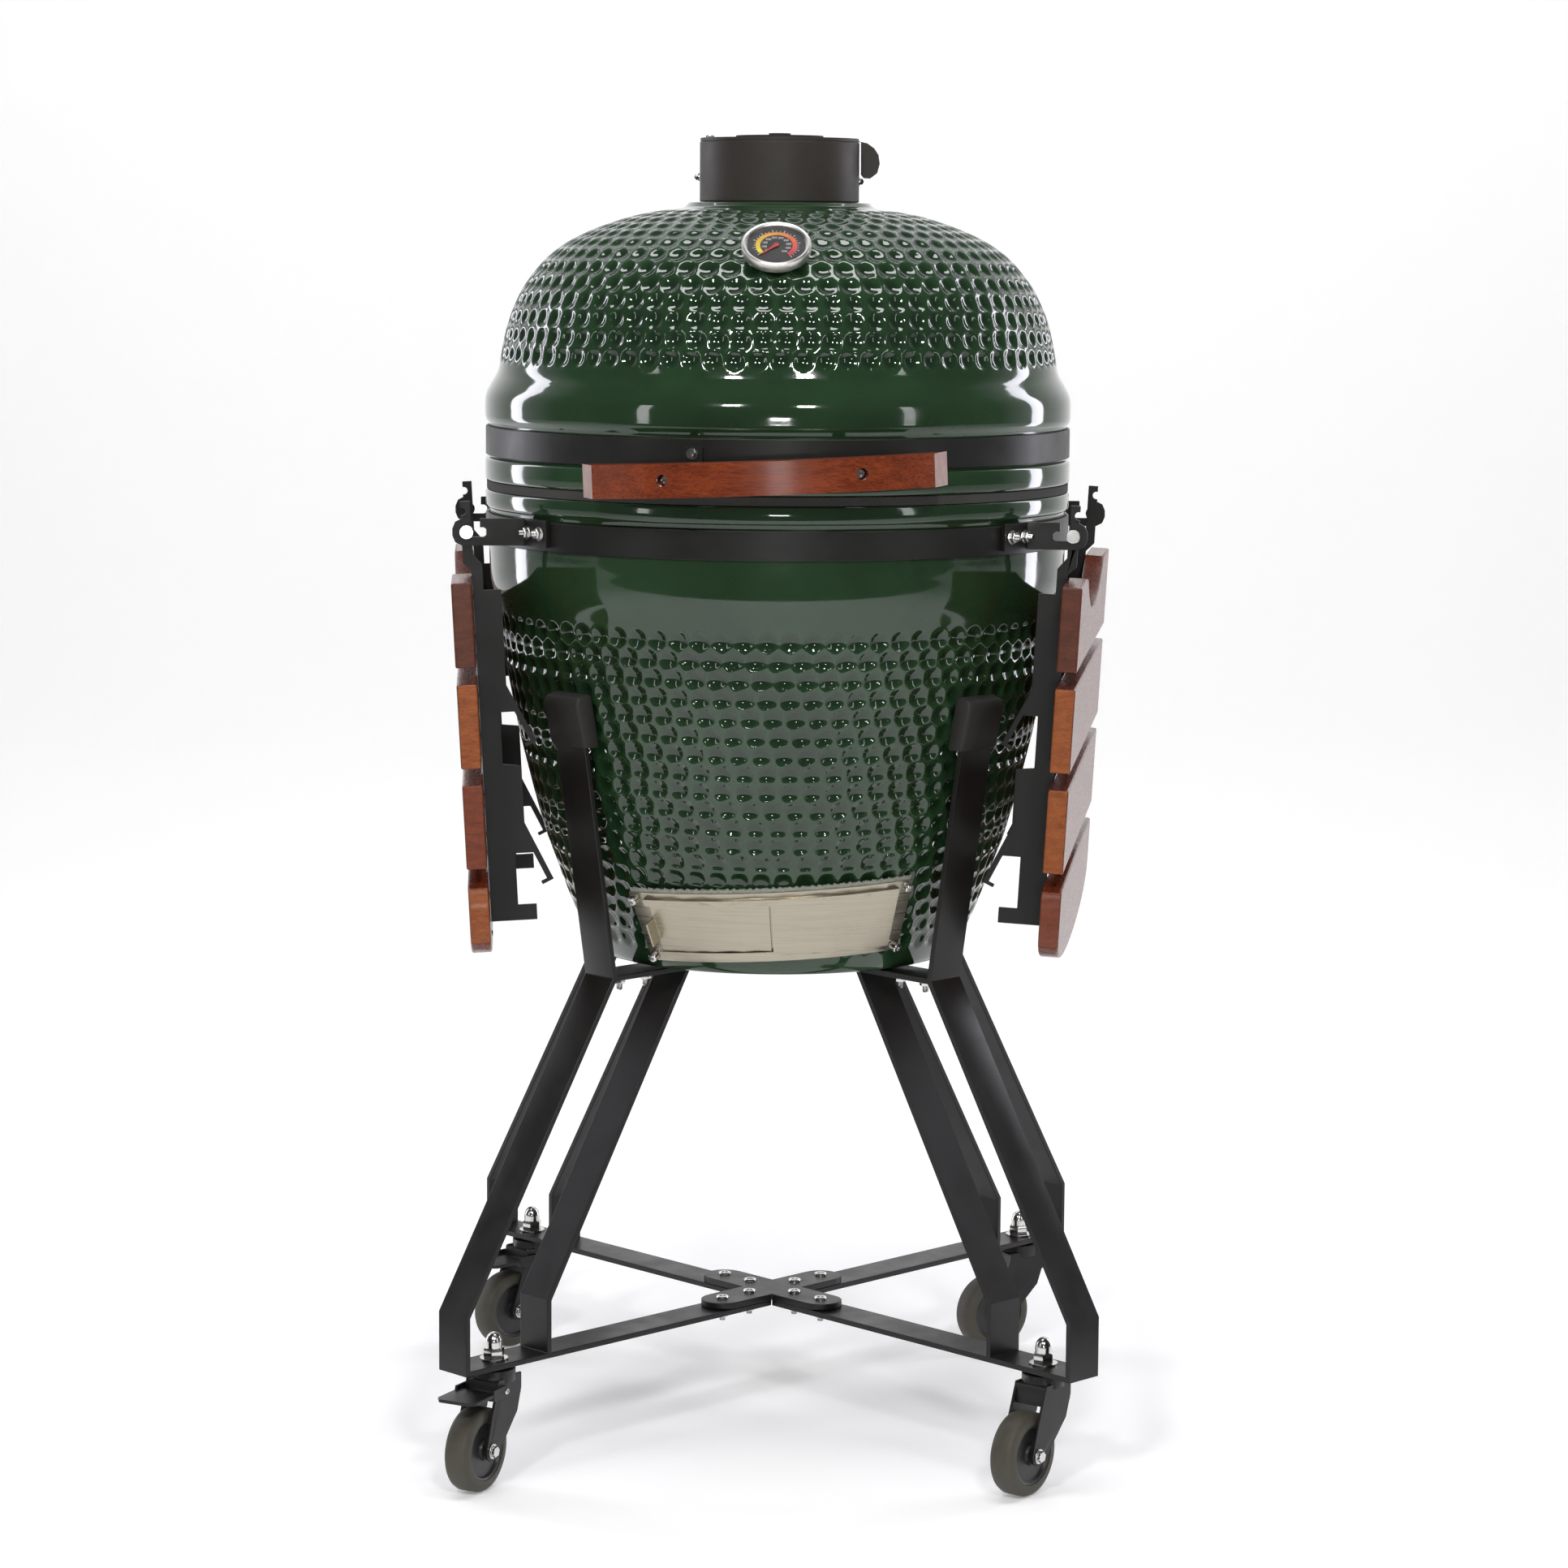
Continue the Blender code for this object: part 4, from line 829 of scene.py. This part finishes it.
# half of a caster wheel's tyre and hub, from the inner edge outwards
WHEEL_HALF, WHEEL_RADIUS, TYRE_INNER = 0.012, 0.0375, 0.0272
TYRE = [(TYRE_INNER, WHEEL_HALF), (0.0300, WHEEL_HALF), (0.0335, WHEEL_HALF - 0.0006),
        (0.0362, WHEEL_HALF - 0.0022), (WHEEL_RADIUS, WHEEL_HALF - 0.0050)]
HUB_FACE = [(0.0035, WHEEL_HALF - 0.0005), (0.0090, WHEEL_HALF - 0.0005),
            (0.0098, WHEEL_HALF - 0.0030), (0.0235, WHEEL_HALF - 0.0034),
            (0.0248, WHEEL_HALF - 0.0012), (0.0269, WHEEL_HALF - 0.0006)]
AXLE_SEAT, PEDAL_SEAT = 0.0170, 0.0204    # bolt seats, from the wheel's middle plane


def cart():
    """Bar frames, pads and cross plates with their screws and nuts."""
    for corner in CORNERS:
        refine("cart_frame_" + corner, COAT, 0.0009)
        refine("cradle_pad_" + corner, RUBBER, 0.0012)
    for node in ("cross_plate", "upper_cross_plate"):
        refine(node, COAT, 0.0008)
    shape = bmesh.new()
    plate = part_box("cross_plate")[1].z
    for heading in CORNERS.values():
        out = outward(math.radians(heading))
        for radius in CROSS_RADII:
            socket_screw(shape, at_height(out, radius, plate), (0, 0, 1), *CROSS_SCREW)
            bolt(shape, at_height(out, radius, CROSS_UNDERSIDE), (0, 0, -1), *BAND_BOLT, 0.004)
        for radius in UPPER_RADII:
            bolt(shape, at_height(out, radius, UPPER_UNDERSIDE), (0, 0, -1), *PLATE_BOLT, 0.006)
        place = frame_at(at_height(out, FOOT_RADIUS, FOOT_TOP), (0, 0, 1), 0.4)
        turned(shape, STEM_WASHER, place, 32)
        hexagon(shape, place, 0.0168, 0.0016, 0.0105)
        turned(shape, STEM_CAP, place, 32)
    attach(finished("cart_fasteners", shape, CHROME), "base")


def mirrored(half):
    """A wheel's outline from one half of it: the other half is its mirror image."""
    return half + [(radius, -height) for radius, height in half[::-1]]


def casters():
    """Swivel forks, rubber wheels on plastic hubs, axle bolts and brake pedals."""
    for corner in CORNERS:
        fork = "caster_fork_" + corner
        refine(fork, COAT, 0.0008)
        spin = JOINTS["wheel_spin_" + corner]
        place = frame_at(spin["pos_m"], spin["axis"])
        shape = turned(bmesh.new(), mirrored(TYRE), place, 96)
        turned(shape, mirrored(HUB_FACE), place, 96, 1)
        settle(finished("wheel_" + corner, shape, TREAD, HUB), "caster_wheel_" + corner)
        shape = bmesh.new()
        axis = Vector(spin["axis"]).normalized()
        centre = Vector(spin["pos_m"])
        for side in (-1, 1):
            bolt(shape, centre + axis * side * AXLE_SEAT, axis * side, *AXLE_BOLT)
        if corner in BRAKED:
            refine("brake_pedal_" + corner, COAT, 0.0005)
            pivot = Vector(JOINTS["brake_pedal_" + corner]["pos_m"])
            for side in (-1, 1):
                socket_screw(shape, pivot + axis * side * PEDAL_SEAT, axis * side, *PEDAL_SCREW)
        attach(finished("axle_bolts_" + corner, shape, CHROME), BODY_OF[fork])


# ----------------------------------------------------------------- shelves

SLATS = range(1, 5)                       # from the top slat down
SLAT_LEAN = math.radians(3.0)
SLAT_BACK = 0.0093                        # from a slat's middle to the screws' seats
SCREW_ALONG, SCREW_RISE = 0.1505, 0.018   # a slat's screws, either side of its middle
BOLT_STEPS = (0.009, 0.021)               # a hinge plate's bolts, from its near edge


def shelves():
    """Slats, bracket plates, pins and the hinge plates on the base band."""
    for side in ("left", "right"):
        for number, end_grain in zip(SLATS, SLAT_ENDS[side]):
            refine("shelf_slat_%d_%s" % (number, side), WOOD, 0.0018, 3, end_grain)
        for end in ("front", "rear"):
            refine("shelf_bracket_%s_%s" % (end, side), COAT, 0.0005)
            refine("shelf_hinge_%s_%s" % (end, side), COAT, 0.0005)
            hinge_plate_bolts(end, side)
        refine("shelf_pin_" + side, CHROME, 0.0006)
        slat_screws(side)


def hinge_plate_bolts(end, side):
    """Two bolts that hold a shelf's hinge plate to the base band."""
    low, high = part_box("shelf_hinge_%s_%s" % (end, side))
    across = 1 if side == "right" else -1
    facing = -1 if end == "front" else 1
    near = min(abs(low.x), abs(high.x))
    height = (low.z + high.z) / 2
    shape = bmesh.new()
    for step in BOLT_STEPS:
        x = across * (near + step)
        y = facing * math.sqrt(BAND_FACE ** 2 - x ** 2)
        bolt(shape, (x, y, height), (x, y, 0.0), *SHELF_BOLT, 0.004)
    attach(finished("hinge_bolts_%s_%s" % (end, side), shape, CHROME), "base")


def slat_screws(side):
    """Small screws through the bracket plates' flanges into each slat's back."""
    swing = JOINTS["shelf_swing_" + side]
    line = Vector(swing["axis"]).normalized()
    out = line.cross(Vector((0, 0, -1))).normalized()
    shape = bmesh.new()
    for number in SLATS:
        low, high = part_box("shelf_slat_%d_%s" % (number, side))
        middle = (low + high) / 2
        for along in (-SCREW_ALONG, SCREW_ALONG):
            for rise in (-SCREW_RISE, SCREW_RISE):
                seat = middle + line * along + Vector((0, 0, rise)) - out * (
                    SLAT_BACK - rise * math.sin(SLAT_LEAN))
                socket_screw(shape, seat, -out, *SLAT_SCREW)
    attach(finished("slat_screws_" + side, shape, CHROME), "shelf_" + side)


# ------------------------------------------------------------------- stage

# the sweep: half its width, its floor's near and far edges, its curve's radius, its top
SWEEP_WIDTH, FLOOR_FRONT, FLOOR_BACK, SWEEP_CURVE, SWEEP_TOP = 9.0, -2.6, 5.0, 1.5, 6.0
FLOOR_DROP = 0.0004                       # keeps the floor clear of the wheels
# the room: dark in front of the grill and bright behind it
ROOM_DARK, ROOM_BRIGHT = (0.085, 0.083, 0.088, 1.0), (0.95, 0.95, 1.0, 1.0)
ROOM_DARK_UNTIL, ROOM_BRIGHT_FROM, ROOM_STRENGTH = 0.56, 0.84, 0.95
GRILL_MIDDLE = (0, 0, 0.8)
WHITE_LIGHT, COOL_LIGHT = (1.0, 1.0, 1.0), (0.92, 0.91, 1.0)
# the camera: millimetres for the lens, then its place, heading, pitch and roll
LENS, SENSOR = 96.5, 36.0
CAMERA_PLACE, CAMERA_HEADING = (0.043, -3.89, 1.103), (-0.009, 1.0, 0.0)
CAMERA_PITCH, CAMERA_ROLL = math.radians(7.386), math.radians(0.40)


def area_light(name, place, size, power, target=GRILL_MIDDLE, colour=WHITE_LIGHT):
    """A soft box that faces a target."""
    lamp = bpy.data.lights.new(name, "AREA")
    lamp.shape = "RECTANGLE"
    lamp.size, lamp.size_y = size
    lamp.energy = power
    lamp.color = colour
    made = bpy.data.objects.new(name, lamp)
    bpy.context.scene.collection.objects.link(made)
    made.location = place
    aim = Vector(target) - Vector(place)
    made.rotation_euler = aim.to_track_quat("-Z", "Y").to_euler()


def sweep():
    """A pale floor that curves up into a back wall."""
    path = [(FLOOR_FRONT, 0.0), (FLOOR_BACK, 0.0)]
    path += [(FLOOR_BACK + SWEEP_CURVE * math.sin(t), SWEEP_CURVE - SWEEP_CURVE * math.cos(t))
             for t in np.linspace(0.1, math.pi / 2, 12)]
    path.append((FLOOR_BACK + SWEEP_CURVE, SWEEP_TOP))
    shape = bmesh.new()
    rows = [[shape.verts.new((x, y, z - FLOOR_DROP)) for x in (-SWEEP_WIDTH, SWEEP_WIDTH)]
            for y, z in path]
    for first, second in zip(rows, rows[1:]):
        shape.faces.new((first[0], first[1], second[1], second[0]))
    paper = Paint("studio_white", (0.9, 0.9, 0.9), 0.8, Emission_Strength=0.20)
    paper.set("Emission Color", (1.0, 1.0, 1.0, 1.0))
    paper.roughness(paper.noise(3.0), 0.75, 0.85)
    finished("studio_sweep", shape, paper.material)


def room():
    """A world that brightens from the front of the grill to the back."""
    world = bpy.data.worlds.new("room")
    bpy.context.scene.world = world
    world.use_nodes = True
    tree = world.node_tree
    place = tree.nodes.new("ShaderNodeTexCoord")
    split = tree.nodes.new("ShaderNodeSeparateXYZ")
    ramp = tree.nodes.new("ShaderNodeValToRGB")
    spread = tree.nodes.new("ShaderNodeMapRange")
    spread.inputs["From Min"].default_value = -1.0
    tree.links.new(place.outputs["Generated"], split.inputs["Vector"])
    tree.links.new(split.outputs["Y"], spread.inputs["Value"])
    tree.links.new(spread.outputs["Result"], ramp.inputs["Fac"])
    tree.links.new(ramp.outputs["Color"], tree.nodes["Background"].inputs["Color"])
    dark, bright = ramp.color_ramp.elements
    dark.position, dark.color = ROOM_DARK_UNTIL, ROOM_DARK
    bright.position, bright.color = ROOM_BRIGHT_FROM, ROOM_BRIGHT
    tree.nodes["Background"].inputs["Strength"].default_value = ROOM_STRENGTH


def studio():
    """A pale sweep of floor and wall, a bright room and a few soft boxes."""
    sweep()
    room()
    area_light("top_box", (0.0, -0.6, 3.4), (2.2, 0.7), 38.0)
    for side in (-1, 1):
        area_light("side_box", (side * 2.5, 1.3, 1.2), (0.45, 2.6), 24.0, colour=COOL_LIGHT)
        area_light("fill_box", (side * 3.2, -2.6, 1.5), (0.35, 1.8), 9.0, (0, 0, 0.7))
    area_light("front_left", (-1.15, -3.6, 2.9), (0.42, 0.42), 46.0)
    area_light("front_right", (0.75, -3.7, 2.7), (0.42, 0.42), 46.0)
    area_light("front_low", (0.1, -4.2, 0.75), (0.5, 0.16), 10.0, (0, 0, 0.6))
    area_light("back_wall", (0.0, 2.6, 4.8), (7.0, 1.0), 170.0, (0, 6.5, 1.5))


def camera():
    """The eye level view, a little above the grill and a hair to its right."""
    lens = bpy.data.cameras.new("view")
    lens.lens = LENS
    lens.sensor_width = SENSOR
    made = bpy.data.objects.new("view", lens)
    bpy.context.scene.collection.objects.link(made)
    heading = Vector(CAMERA_HEADING).normalized()
    aim = heading * math.cos(CAMERA_PITCH) - Vector((0, 0, math.sin(CAMERA_PITCH)))
    made.matrix_world = (Matrix.Translation(CAMERA_PLACE)
                         @ aim.to_track_quat("-Z", "Y").to_matrix().to_4x4()
                         @ Matrix.Rotation(CAMERA_ROLL, 4, "Z"))
    bpy.context.scene.camera = made
    bpy.context.scene.view_settings.view_transform = "Standard"


camera()
studio()
body()
top_vent()
thermometer()
handle()
lid_hinge()
cart()
casters()
shelves()
